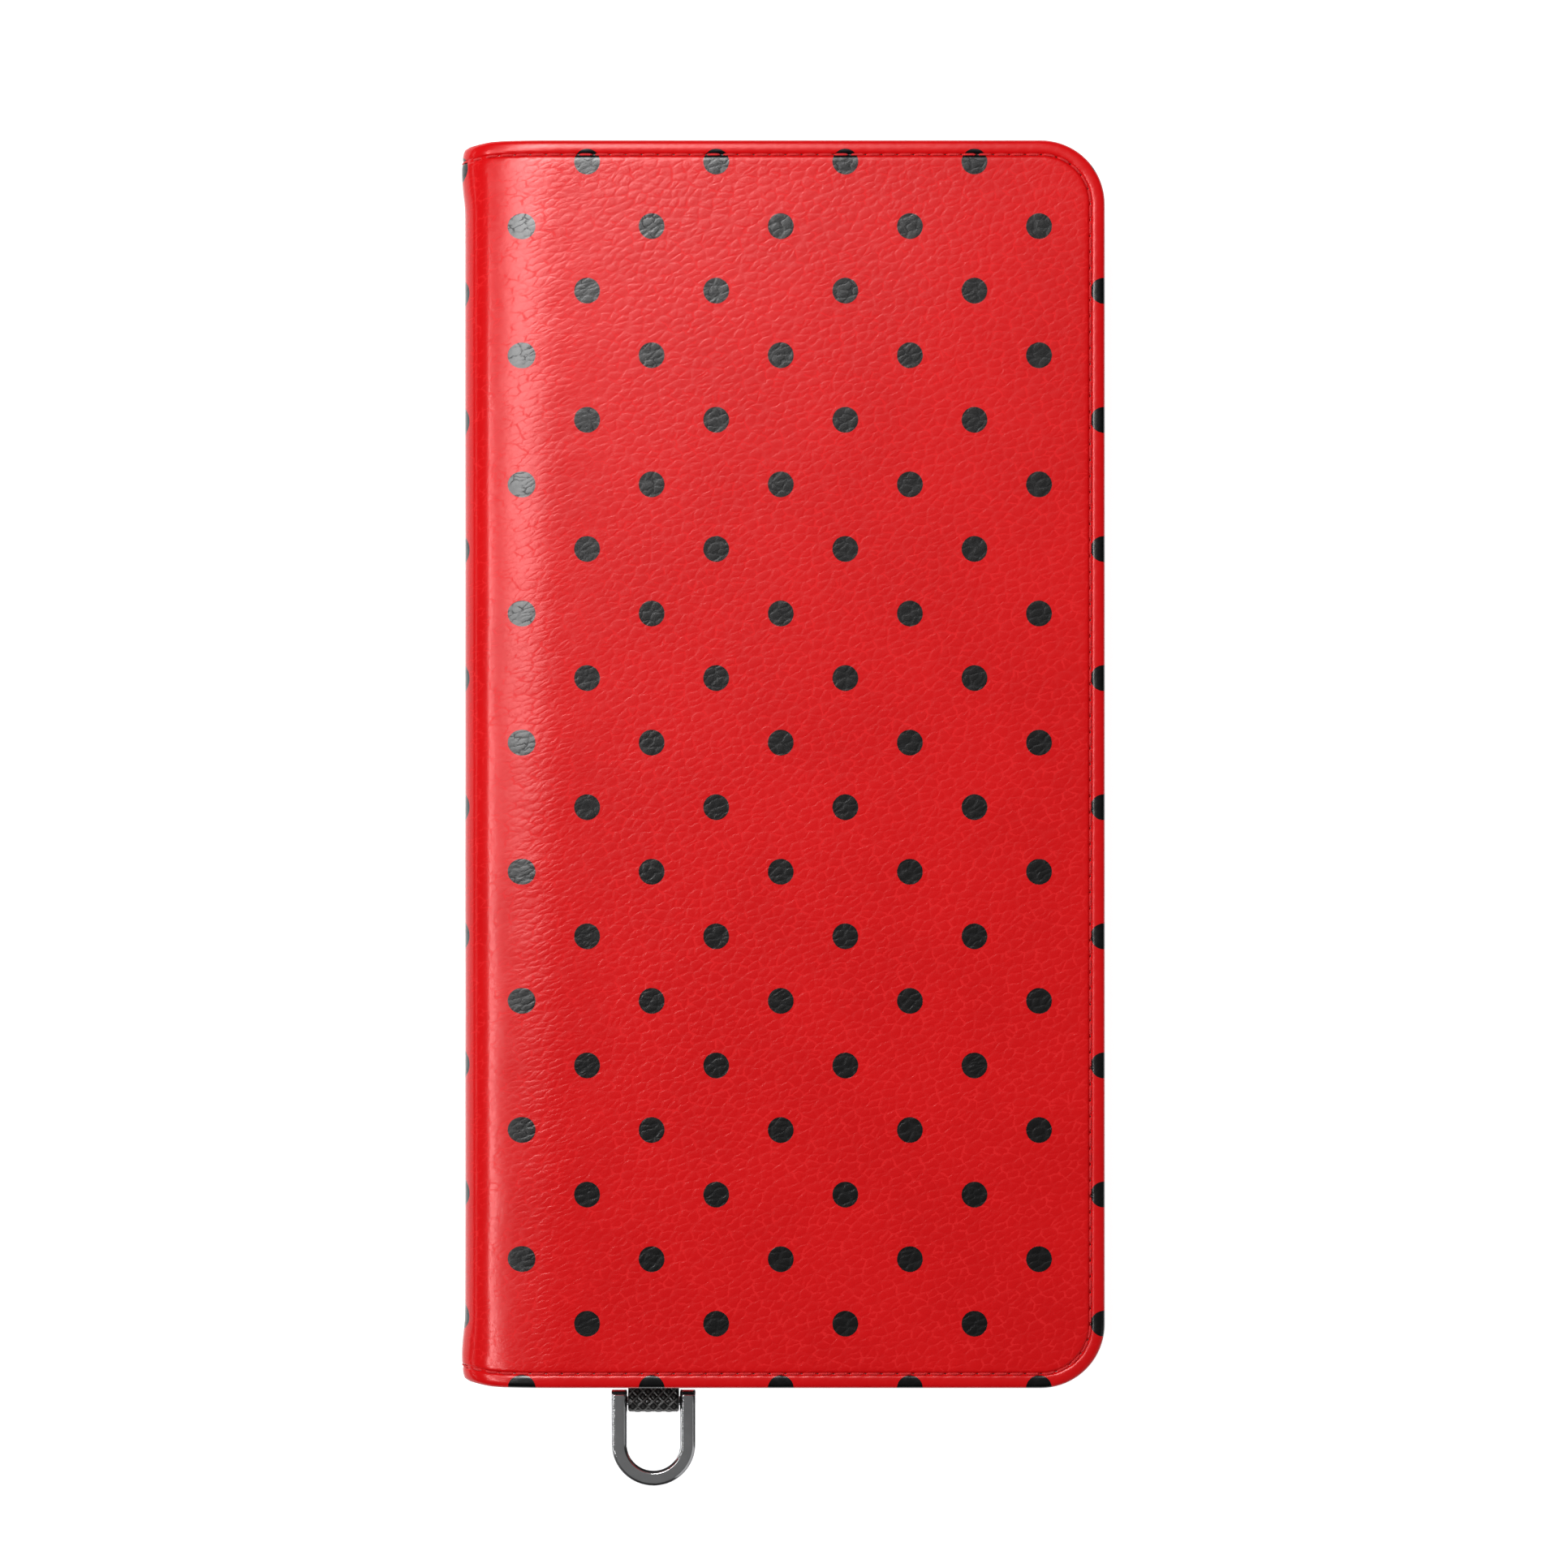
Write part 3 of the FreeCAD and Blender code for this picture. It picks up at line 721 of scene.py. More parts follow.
def pebbles(nodes, uv, width, height):
    """Embossed grain of slanting pebbles about this size: its height, and the thin creases between them."""
    warp = nodes.add("ShaderNodeTexNoise", Vector=uv, Scale=0.9, Detail=3.0, Roughness=0.6).outputs[1]
    push = nodes.add("ShaderNodeVectorMath", {"operation": "MULTIPLY_ADD"})
    nodes.feed(push.inputs[0], warp)
    push.inputs[1].default_value = (1.0, 1.0, 0.0)
    nodes.feed(push.inputs[2], uv)
    turned = nodes.add(
        "ShaderNodeVectorRotate", {"rotation_type": "Z_AXIS"}, Vector=push.outputs[0], Angle=PEBBLE_SLANT)
    squeezed = nodes.add("ShaderNodeVectorMath", {"operation": "DIVIDE"})
    nodes.feed(squeezed.inputs[0], turned.outputs[0])
    squeezed.inputs[1].default_value = (width, height, 1.0)
    kinds = []
    for feature in ("F1", "DISTANCE_TO_EDGE"):
        cells = nodes.add(
            "ShaderNodeTexVoronoi", {"feature": feature, "voronoi_dimensions": "2D"},
            Vector=squeezed.outputs[0], Scale=1.0, Randomness=0.95)
        kinds.append(cells.outputs["Distance"])
    dome = nodes.ramp(kinds[0], 0.1, 0.85, 1.0, 0.0)
    valley = nodes.ramp(kinds[1], 0.0, 0.28, 0.0, 1.0)
    depth = nodes.ramp(nodes.noise(uv, 0.7, 2.0), 0.35, 0.65, 0.35, 0.9)
    cut = nodes.math("MULTIPLY", nodes.math("SUBTRACT", valley, 1.0), depth)
    broken = nodes.ramp(nodes.noise(uv, 0.6, 3.0), 0.4, 0.62, 0.1, 0.95)
    crease = nodes.math("MULTIPLY", nodes.ramp(kinds[1], 0.0, 0.14, 1.0, 0.0), broken)
    return nodes.math("MULTIPLY_ADD", dome, 1.1, cut), crease


def pebble_grain(nodes, uv, u):
    """Height and creases over the whole sheet, drawn out into fine wrinkles beside the fold."""
    near_fold = nodes.ramp(u, -33.0, -21.0, 1.0, 0.0)
    away_from_fold = nodes.math("SUBTRACT", 1.0, near_fold)
    mixed = []
    for round_one, long_one in zip(pebbles(nodes, uv, 1.65, 1.02), pebbles(nodes, uv, 2.0, 0.8)):
        first = nodes.math("MULTIPLY", round_one, away_from_fold)
        mixed.append(nodes.math("MULTIPLY_ADD", long_one, near_fold, first))
    return mixed


REDS = ((0.53, 0.0034, 0.0048, 1), (0.56, 0.0042, 0.0056, 1))
BLACKS = ((0.0011, 0.0011, 0.0012, 1), (0.002, 0.002, 0.0021, 1))
# colours of the creases, lighter than the leather round them: painted highlight for the light their walls
# catch
LIT_CREASE_RED = (0.68, 0.023, 0.025, 1)
LIT_CREASE_BLACK = (0.017, 0.017, 0.018, 1)
# colour of the needle holes: painted shade
SHADED_HOLE_RED = (0.02, 0.0, 0.0, 1)
RED_GLOSS = (1.0, 0.52, 0.52, 1)
WHITE = (1.0, 1.0, 1.0, 1)


def printed_leather():
    """Red pebbled synthetic leather with a black dot print."""
    nodes = Nodes("printed_leather")
    uv, u, v = sheet_coordinates(nodes)
    grain, crease = nodes.mark("grain"), nodes.mark("crease")
    ragged = nodes.math("SUBTRACT", nodes.noise(uv, 1.6, 3.0), 0.5)
    past_fold = nodes.math("MINIMUM", nodes.math("MAXIMUM", nodes.math("SUBTRACT", -35.0, u), 0.0), 14.0)
    printed_u = nodes.math("MULTIPLY_ADD", past_fold, 0.12, u)
    dots = dot_mask(nodes, printed_u, v, ragged)
    relief, creases = pebble_grain(nodes, uv, u)
    creases = nodes.math("MULTIPLY", creases, grain)
    pores = nodes.noise(uv, 4.5, 3.0, 0.6)
    patches = nodes.noise(uv, 0.06, 2.0)
    # The creases are painted lighter, on the red and on the dots: painted highlight for the light that their
    # walls catch.
    crease_highlight = nodes.ramp(creases, 0.0, 0.9, 0.0, 0.55)
    red = nodes.mix(crease_highlight, nodes.mix(nodes.ramp(patches, 0.35, 0.65), *REDS), LIT_CREASE_RED)
    black = nodes.mix(crease_highlight, nodes.mix(nodes.ramp(pores, 0.3, 0.7), *BLACKS), LIT_CREASE_BLACK)
    # The needle holes of the seam are painted almost black: painted shade in the holes.
    valley = nodes.ramp(crease, 0.13, 0.19, 0.0, 0.95)
    colour = nodes.mix(valley, nodes.mix(dots, red, black), SHADED_HOLE_RED)
    taut = nodes.ramp(u, -41.0, -33.0, 0.76, 1.0)
    shine = nodes.math("MULTIPLY", nodes.ramp(relief, -0.5, 0.8, 0.27, 0.235), taut)
    gloss = nodes.ramp(creases, 0.0, 0.8, 0.5, 0.2)
    tint = nodes.mix(dots, RED_GLOSS, WHITE)
    fine = nodes.bump(pores, 0.002)
    stretched = nodes.ramp(u, -39.0, -32.0, 0.2, 1.0)
    deeper = nodes.math("MULTIPLY", nodes.ramp(v, -60.0, 50.0, 1.9, 0.9), stretched)
    height = nodes.math("MULTIPLY", relief, nodes.math("MULTIPLY", grain, deeper))
    normal = nodes.bump(height, 0.0068, fine)
    return nodes.finish(Base_Color=colour, Roughness=shine, Normal=normal, Specular_IOR_Level=gloss,
                        Specular_Tint=tint)


def thread(name, colour):
    """Twisted sewing thread."""
    nodes = Nodes(name)
    along, around = sheet_coordinates(nodes)[1:]
    twist = nodes.math("MULTIPLY_ADD", along, 5.5, around)
    ply = nodes.math("SINE", nodes.math("MULTIPLY", twist, 2 * math.pi))
    fibres = nodes.noise(object_millimetres(nodes), 9.0, 2.0)
    # The thread is painted darker between its plies: painted shade in the grooves of the twist; the fibres
    # vary its tone at random.
    shade = nodes.ramp(ply, -1.0, 1.0, 0.75, 1.0)
    ply_shade_and_fibre_tone = nodes.math("MULTIPLY", shade, nodes.ramp(fibres, 0.3, 0.7, 0.85, 1.0))
    dark = tuple(0.6 * part for part in colour) + (1,)
    mixed = nodes.mix(ply_shade_and_fibre_tone, dark, colour + (1,))
    normal = nodes.bump(nodes.math("ADD", ply, fibres), 0.03)
    return nodes.finish(Base_Color=mixed, Roughness=0.55, Normal=normal, Specular_IOR_Level=0.3)


def microfibre():
    """Matte black suede-like lining."""
    nodes = Nodes("lining")
    place = object_millimetres(nodes)
    nap = nodes.noise(place, 3.5, 4.0, 0.65)
    cloud = nodes.noise(place, 0.12, 2.0)
    colour = nodes.mix(nodes.ramp(nap, 0.35, 0.65), (0.011, 0.011, 0.012, 1), (0.022, 0.022, 0.024, 1))
    colour = nodes.mix(nodes.ramp(cloud, 0.4, 0.6, 0.0, 0.3), colour, (0.03, 0.03, 0.032, 1))
    normal = nodes.bump(nap, 0.05)
    return nodes.finish(Base_Color=colour, Roughness=0.95, Normal=normal, Sheen_Weight=0.35,
                        Specular_IOR_Level=0.2)


def pocket_leather():
    """Fine-grained black synthetic leather of the pockets."""
    nodes = Nodes("pocket_leather")
    place = object_millimetres(nodes)
    cells = nodes.add("ShaderNodeTexVoronoi", {"feature": "DISTANCE_TO_EDGE"}, Vector=place, Scale=1.1)
    pebble = nodes.ramp(cells.outputs["Distance"], 0.0, 0.2)
    pores = nodes.noise(place, 5.0, 3.0)
    colour = nodes.mix(nodes.ramp(pores, 0.3, 0.7), (0.012, 0.012, 0.013, 1), (0.021, 0.021, 0.022, 1))
    normal = nodes.bump(pebble, 0.03, nodes.bump(pores, 0.01))
    return nodes.finish(Base_Color=colour, Roughness=0.48, Normal=normal)


def shell_plastic():
    """Matte moulded flexible plastic."""
    nodes = Nodes("shell")
    place = object_millimetres(nodes)
    texture = nodes.noise(place, 6.0, 3.0, 0.6)
    patches = nodes.noise(place, 0.2, 2.0)
    colour = nodes.mix(nodes.ramp(patches, 0.4, 0.65), (0.010, 0.010, 0.011, 1), (0.016, 0.016, 0.017, 1))
    rough = nodes.ramp(texture, 0.3, 0.7, 0.5, 0.62)
    normal = nodes.bump(texture, 0.015)
    return nodes.finish(Base_Color=colour, Roughness=rough, Normal=normal)


def card():
    """Grey pressed board."""
    nodes = Nodes("board")
    place = object_millimetres(nodes)
    pulp = nodes.noise(place, 2.5, 4.0, 0.6)
    colour = nodes.mix(nodes.ramp(pulp, 0.35, 0.65), (0.26, 0.245, 0.22, 1), (0.38, 0.36, 0.33, 1))
    return nodes.finish(Base_Color=colour, Roughness=0.85, Normal=nodes.bump(pulp, 0.03))


def bonding_film():
    """Thin off-white bonding sheet."""
    nodes = Nodes("adhesive")
    film = nodes.noise(object_millimetres(nodes), 1.2, 3.0)
    colour = nodes.mix(film, (0.5, 0.5, 0.48, 1), (0.62, 0.62, 0.6, 1))
    return nodes.finish(Base_Color=colour, Roughness=0.4, Normal=nodes.bump(film, 0.02))


def magnet_plate():
    """Nickel-plated magnet."""
    nodes = Nodes("magnet")
    scratches = nodes.noise(object_millimetres(nodes), 3.0, 3.0)
    rough = nodes.ramp(scratches, 0.3, 0.7, 0.22, 0.34)
    colour = nodes.mix(scratches, (0.5, 0.5, 0.5, 1), (0.62, 0.61, 0.6, 1))
    return nodes.finish(Base_Color=colour, Metallic=1.0, Roughness=rough)


def gunmetal():
    """Dark plated metal with a faint satin."""
    nodes = Nodes("gunmetal")
    place = object_millimetres(nodes)
    satin = nodes.noise(place, 7.0, 3.0, 0.6)
    cloud = nodes.noise(place, 0.5, 2.0)
    colour = nodes.mix(nodes.ramp(cloud, 0.35, 0.65), (0.84, 0.845, 0.86, 1), (0.89, 0.895, 0.91, 1))
    rough = nodes.ramp(satin, 0.3, 0.7, 0.15, 0.18)
    return nodes.finish(Base_Color=colour, Metallic=1.0, Roughness=rough)


def webbing():
    """Black woven tape with slightly shiny yarn; painted highlight on its cords' crowns and painted shade
    between them.
    """
    nodes = Nodes("webbing")
    place = object_millimetres(nodes)
    fibres = nodes.noise(place, 9.0, 3.0, 0.6)
    crown = nodes.mark("crown")
    # The colour follows the weave's height: painted highlight, grey, on the cords' crowns and painted shade,
    # near black, between them.
    colour = nodes.mix(nodes.ramp(crown, 0.2, 0.9), (0.0005, 0.0005, 0.0005, 1), (0.13, 0.128, 0.124, 1))
    normal = nodes.bump(fibres, 0.012)
    rough = nodes.ramp(fibres, 0.3, 0.7, 0.26, 0.38)
    return nodes.finish(Base_Color=colour, Roughness=rough, Normal=normal, Specular_IOR_Level=0.7)


def floor_finish():
    """Plain pale floor."""
    nodes = Nodes("floor")
    return nodes.finish(Base_Color=(0.3, 0.3, 0.3, 1), Roughness=0.9, Specular_IOR_Level=0.0,
                        Emission_Color=WHITE, Emission_Strength=0.97)


def wear(piece, material):
    """Gives a piece one material."""
    piece.data.materials.clear()
    piece.data.materials.append(material)
    return piece


# ---------------------------------------------------------------- covers

def local_depth(cover_depth):
    """Thickness of a cover from its outer face to its lining, at distances s along the leather."""
    def depth(s):
        return np.interp(s, (3.6, 6.2, 9.2, 19.0), (SPINE_DEPTH, 1.1, 1.25, cover_depth))
    return depth


def fold_ends(mirrored):
    """Points where a fold's leather stops following the spine and where it follows the cover."""
    low = Vector((SPINE_X, 0.0, THICKNESS - FOLD_RADIUS - 1.0))
    high = Vector((SPINE_X + FOLD_RADIUS, 0.0, THICKNESS))
    if mirrored:
        low.z = THICKNESS - low.z
        high.z = THICKNESS - high.z
    return low * MM, high * MM


def bend_at_fold(piece, mirrored):
    """Bakes a piece's place into its mesh; the ends of the fold that it crosses are found but not used."""
    spine_end, cover_end = fold_ends(mirrored)
    if mirrored:
        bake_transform(piece)
    else:
        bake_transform(piece)


# how near the spine's middle, in height, the cut edge's points lie
LEVEL_TOLERANCE = 0.08


def square_middle_edge(piece):
    """Keeps the cut edge along the spine's middle from tinting the shading of the outer face beside it."""
    level = [abs(vertex.co.z - MID_Z * MM) < LEVEL_TOLERANCE * MM for vertex in piece.data.vertices]
    for polygon in piece.data.polygons:
        if all(level[index] for index in polygon.vertices):
            polygon.use_smooth = False


def cover_leather(name, mirrored, material, *nodes):
    """Outer leather of one cover and half the spine."""
    tilt = BACK_TILT if mirrored else FRONT_TILT
    depth = local_depth(BACK_DEPTH if mirrored else FRONT_DEPTH)
    cover = Cover(outer_section(tilt), 0.0, mirrored, depth)
    sheet = build_sheet(cover, SKIN_PROFILE, SKIN_COARSE_FROM, leather_relief)
    marks = {"grain": sheet.grain, "crease": sheet.crease}
    leather = new_object(name, sheet.vertices, sheet.faces, sheet.uvs, marks)
    thicken(leather, SKIN_SHEET)
    square_middle_edge(leather)
    wear(leather, material)
    bend_at_fold(leather, mirrored)
    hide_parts(*nodes)
    return cover


def cover_lining(name, mirrored, material, *nodes):
    """Lining of one cover and half the spine."""
    cover_z = THICKNESS - (BACK_DEPTH if mirrored else FRONT_DEPTH)
    cover = Cover(inner_section(cover_z), LINING_INSET, mirrored, lambda s: np.full(np.shape(s), 9.0))
    sheet = build_sheet(cover, LINING_PROFILE, LINING_COARSE_FROM, no_relief)
    lining = new_object(name, sheet.vertices, sheet.faces, sheet.uvs)
    thicken(lining, LINING_SHEET)
    square_middle_edge(lining)
    wear(lining, material)
    bend_at_fold(lining, mirrored)
    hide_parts(*nodes)
    return cover


def cover_seam(name, mirrored, outer, inner, material, *nodes):
    """Stitches of one cover: the same thread seen on the leather and on the lining."""
    outside = stitches(name + "_out", outer, SEAM_INSET, -0.12, 0.4)
    inside = stitches(name + "_in", inner, SEAM_INSET - LINING_INSET, 0.0, 0.3)
    seam = combine(name, [outside, inside])
    wear(seam, material)
    bend_at_fold(seam, mirrored)
    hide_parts(*nodes)


# ---------------------------------------------------------------- lanyard tab

TAB_LOW, TAB_HIGH = node_box("lanyard_tab")
LOOP_RADIUS = (TAB_HIGH.z - TAB_LOW.z) / 2
LOOP_CENTRE = np.array((TAB_LOW.y + LOOP_RADIUS, (TAB_HIGH.z + TAB_LOW.z) / 2))
BORE_RADIUS = 0.72

# where the strap meets the loop, in degrees, and the share of its slanting run whose inside lies off the bore
LOOP_START, LOOP_END = 67.9, 284.6
OFF_BORE = 0.6

# y where the strap leaves the case, heights of its upper and lower face there, and y of its sewn end
STRAP_LEAVES = (-85.3, 2.0, 0.8)
STRAP_END_Y = -81.0
STRAP_STEPS = 24
WEAVE_DEPTH = 0.15
WEAVE_PITCH = (1.44, 1.54)


def strap_path():
    """Folded strap seen from its side: outline points, outward directions and partner points inside."""
    leave_y, upper_z, lower_z = STRAP_LEAVES
    middle_z = (upper_z + lower_z) / 2
    tail = np.linspace(STRAP_END_Y, leave_y, STRAP_STEPS)
    back = np.linspace(leave_y, STRAP_END_Y, STRAP_STEPS)
    path = [(y, upper_z, 0.0, 1.0, y, middle_z) for y in tail]
    path += slanting_run((leave_y, upper_z), LOOP_START, 0.0, middle_z)
    for degrees in np.linspace(LOOP_START, LOOP_END, 56):
        out = direction(degrees)
        path.append((*(LOOP_CENTRE + LOOP_RADIUS * out), *out, *(LOOP_CENTRE + BORE_RADIUS * out)))
    path += slanting_run((leave_y, lower_z), LOOP_END, 360.0, middle_z)[::-1]
    path += [(y, lower_z, 0.0, -1.0, y, middle_z) for y in back]
    return np.array(path)


def slanting_run(leave, loop_degrees, rest_degrees, middle_z):
    """Straight stretch of strap between the case and the loop.

    Its inside follows the bore beside the loop and the line between the strap's two layers before that.
    """
    out = direction(loop_degrees)
    away, at_loop = np.array(leave), LOOP_CENTRE + LOOP_RADIUS * out
    between = np.array((leave[0], middle_z))
    bore = LOOP_CENTRE + (BORE_RADIUS, 0.0)
    found = []
    for share in np.linspace(0.0, 1.0, STRAP_STEPS)[1:-1]:
        if share > OFF_BORE:
            turn = rest_degrees + (loop_degrees - rest_degrees) * (share - OFF_BORE) / (1 - OFF_BORE)
            partner = LOOP_CENTRE + BORE_RADIUS * direction(turn)
        else:
            partner = between + (bore - between) * share / OFF_BORE
        found.append((*(away + (at_loop - away) * share), *out, *partner))
    return found


def weave(across, along):
    """Height of the weave between 0 and 1: slanting cords crossed by lower ones, with small knots between."""
    rising = np.abs(np.sin(math.pi * (across / WEAVE_PITCH[0] + along / WEAVE_PITCH[1])))
    falling = np.abs(np.sin(math.pi * (across / WEAVE_PITCH[0] - along / WEAVE_PITCH[1])))
    cords = np.maximum(1 - smooth(rising / 0.62), 0.78 * (1 - smooth(falling / 0.55)))
    return np.maximum(cords, 0.5 * smooth((rising * falling - 0.45) / 0.5))


def webbing_tab(material):
    """Woven strap folded round the ring's pin and sewn into the back cover."""
    path = strap_path()
    steps = np.linalg.norm(np.diff(path[:, :2], axis=0), axis=1)
    along = np.concatenate(([0.0], np.cumsum(steps)))
    middle_x = (TAB_LOW.x + TAB_HIGH.x) / 2
    half = (TAB_HIGH.x - TAB_LOW.x) / 2
    edge = [(-half, 1.0), (-half, 0.24), (-half + 0.03, 0.12), (-half + 0.12, 0.03)]
    columns = edge + [(x, 0.0) for x in np.linspace(-(half - 0.28), half - 0.28, 62)]
    columns += [(-x, sink) for x, sink in edge[::-1]]
    vertices, crown = [], []
    for x, sink in columns:
        height = weave(x, along) * smooth((half - abs(x)) / 0.35)
        lowered = (1 - height) * WEAVE_DEPTH
        outer_y = path[:, 0] - path[:, 2] * lowered
        outer_z = path[:, 1] - path[:, 3] * lowered
        y = outer_y + (path[:, 4] - outer_y) * sink
        z = outer_z + (path[:, 5] - outer_z) * sink
        vertices.extend(np.stack([np.full(len(y), middle_x + x), y, z], axis=-1).tolist())
        crown.extend(height.tolist())
    faces = tube_faces([number * len(path) for number in range(len(columns))], len(path))
    tab = new_object("webbing_tab", vertices, faces, None, {"crown": crown})
    wear(tab, material)
    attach(tab, "back_cover")
    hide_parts("lanyard_tab")


# ---------------------------------------------------------------- ring and its pin

RING_LOW, RING_HIGH = node_box("shackle")
RING_CENTRE = (RING_LOW + RING_HIGH) / 2
RING_OUTER = (RING_HIGH.x - RING_LOW.x) / 2
RING_INNER = 3.675
RING_ARC_Y = RING_LOW.y + RING_OUTER
LEG_END_RADIUS = 0.95

# one edge of the ring's section: distance in from the side, and down from the face
RING_EDGE = [
    (0.62, 0.0), (0.44, 0.0), (0.425, 0.003), (0.405, 0.014), (0.33, 0.055), (0.25, 0.107),
    (0.17, 0.166), (0.09, 0.234), (0.02, 0.302), (0.0, 0.36), (0.0, 0.6),
]


def ring_section():
    """Closed section of the ring: distance out from the middle of its bar's inner side, and height."""
    width = RING_OUTER - RING_INNER
    half = (RING_HIGH.z - RING_LOW.z) / 2
    outer_top = [(width - inset, half - drop) for inset, drop in RING_EDGE]
    outer_bottom = [(out, -z) for out, z in outer_top[::-1]]
    inner_bottom = [(width - out, z) for out, z in outer_bottom[::-1]]
    inner_top = [(width - out, z) for out, z in outer_top[::-1]]
    return np.array(outer_top + outer_bottom + inner_bottom + inner_top)


def ring_stations():
    """Places along the bar: y, outward direction, share of the full height, and inset of the sides.

    y is the place itself on a leg, and the arc's centre on the arc.
    """
    arc = [(RING_ARC_Y, math.cos(a), math.sin(a), 1.0, 0.0) for a in np.linspace(math.pi, 2 * math.pi, 97)]
    straight_top = RING_HIGH.y - LEG_END_RADIUS
    leg = [(y, 1.0, 0.0, 1.0, 0.0) for y in np.linspace(RING_ARC_Y, straight_top, 8)[1:]]
    for a in np.linspace(0.0, math.pi / 2, 13)[1:]:
        y = straight_top + LEG_END_RADIUS * math.sin(a)
        leg.append((y, 1.0, 0.0, 0.06 + 0.94 * math.cos(a), 0.3 * (1 - math.cos(a)) ** 2))
    left = [(y, -1.0, 0.0, share, inset) for y, _, _, share, inset in leg]
    return left[::-1] + arc + leg


def closed_bar(count, total):
    """Faces of a bar with this many points round each section and in all, its two ends closed."""
    points = list(range(total))
    return bands(count, total // count) + [points[:count][::-1], points[-count:]]


def ring_body(material):
    """U-shaped ring with bevelled edges and rounded leg ends."""
    section = ring_section()
    middle = (RING_OUTER - RING_INNER) / 2
    count = len(section)
    vertices = []
    for y, out_x, out_y, share, inset in ring_stations():
        narrowed = middle + (section[:, 0] - middle) * (middle - inset) / middle
        reach = RING_INNER + narrowed
        x = RING_CENTRE.x + out_x * reach
        z = RING_CENTRE.z + section[:, 1] * share
        vertices.extend(np.stack([x, y + out_y * reach, z], axis=-1).tolist())
    ring = new_object("ring_body", vertices, closed_bar(count, len(vertices)))
    wear(ring, material)
    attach(ring, "lanyard_ring")
    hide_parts("shackle")


PIN_LOW, PIN_HIGH = node_box("shackle_pin")
PIN_RADIUS = (PIN_HIGH.z - PIN_LOW.z) / 2
PIN_PROUD = 0.03
PIN_RIBS = 12
RIB_DEPTH = 0.07


def ring_pin(material):
    """Ribbed pin through the ring's legs, its plain ends just proud of them."""
    centre_y = (PIN_LOW.y + PIN_HIGH.y) / 2
    centre_z = (PIN_LOW.z + PIN_HIGH.z) / 2
    half = (PIN_HIGH.x - PIN_LOW.x) / 2 + PIN_PROUD
    middle_x = (PIN_LOW.x + PIN_HIGH.x) / 2
    ribbed = RING_INNER + 0.1
    lathe = [(-half, 0.9, 0.0), (-half + 0.02, 0.97, 0.0), (-half + 0.07, 1.0, 0.0)]
    lathe += [(-ribbed - 0.05, 1.0, 0.0), (-ribbed, 1.0, 1.0), (-ribbed + 0.2, 1.0, 1.0)]
    lathe += [(-x, share, ribs) for x, share, ribs in lathe[::-1]]
    sides = PIN_RIBS * 8
    turn = np.linspace(0.0, 2 * math.pi, sides, endpoint=False)
    vertices = []
    for x, share, ribs in lathe:
        radius = PIN_RADIUS * share - RIB_DEPTH * ribs * np.abs(np.sin(turn * PIN_RIBS / 2))
        y = centre_y + radius * np.cos(turn)
        z = centre_z + radius * np.sin(turn)
        vertices.extend(np.stack([np.full(sides, middle_x + x), y, z], axis=-1).tolist())
    pin = new_object("ring_pin", vertices, closed_bar(sides, len(vertices)))
    wear(pin, material)
    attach(pin, "lanyard_ring")
    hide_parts("shackle_pin")


# ---------------------------------------------------------------- pockets inside the front cover

# a pocket sheet's edge: distance in, and height
POCKET_EDGE = [
    (0.3, -0.36), (0.0, -0.36), (0.0, -0.14), (0.04, -0.05), (0.13, 0.0), (1.05, 0.0), (1.2, -0.05),
    (1.35, 0.0),
]
CARD_POCKETS = ("card_pocket_1", "card_pocket_2", "card_pocket_3")
THUMB_NOTCH_RADIUS = 9.0
THUMB_NOTCH_DEPTH = 4.0
POCKET_SEAM_INSET = 1.9
POCKET_STITCH = 2.4
POCKET_THREAD = (0.15, 0.1)


def rounded_corner(centre, radius, start_deg, end_deg):
    """Points and outward directions round one corner of a sheet."""
    turns = [direction(degrees) for degrees in np.linspace(start_deg, end_deg, 9)]
    return [(*(centre + radius * away), *away) for away in turns]


def pocket_outline(low, high, mouth_corner, closed_corner, notched):
    """Edge of a pocket sheet, anticlockwise from above, as points with outward directions."""
    edge = rounded_corner((high.x - closed_corner, high.y - closed_corner), closed_corner, 0.0, 90.0)
    edge += rounded_corner((low.x + mouth_corner, high.y - mouth_corner), mouth_corner, 90.0, 180.0)
    if notched:
        centre_x = low.x - THUMB_NOTCH_RADIUS + THUMB_NOTCH_DEPTH
        reach = math.degrees(math.acos((THUMB_NOTCH_RADIUS - THUMB_NOTCH_DEPTH) / THUMB_NOTCH_RADIUS))
        for degrees in np.linspace(reach, -reach, 31):
            away = direction(degrees)
            blend = smooth((abs(degrees) / reach - 0.8) / 0.2)
            outward = np.array((-1.0, 0.0)) * blend - away * (1 - blend)
            outward /= np.linalg.norm(outward)
            edge.append((centre_x + THUMB_NOTCH_RADIUS * away[0], THUMB_NOTCH_RADIUS * away[1], *outward))
    edge += rounded_corner((low.x + mouth_corner, low.y + mouth_corner), mouth_corner, 180.0, 270.0)
    edge += rounded_corner((high.x - closed_corner, low.y + closed_corner), closed_corner, 270.0, 360.0)
    return np.array(edge)


def pocket_sheet(node, mouth_corner, closed_corner, notched, material):
    """Leather sheet with rounded edges and a crease line along them, facing the phone."""
    low, high = node_box(node)
    edge = pocket_outline(low, high, mouth_corner, closed_corner, notched)
    count = len(edge)
    vertices = []
    for d, w in POCKET_EDGE:
        x = edge[:, 0] - d * edge[:, 2]
        y = edge[:, 1] - d * edge[:, 3]
        vertices.extend(np.stack([x, y, np.full(count, low.z - w)], axis=-1).tolist())
    points = list(range(len(vertices)))
    faces = turned_over(bands(count, len(POCKET_EDGE))) + [points[:count], points[-count:][::-1]]
    sheet = new_object(node + "_sheet", vertices, faces)
    for polygon in sheet.data.polygons[-2:]:
        polygon.use_smooth = False
    wear(sheet, material)
    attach(sheet, "front_cover")
    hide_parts(node)


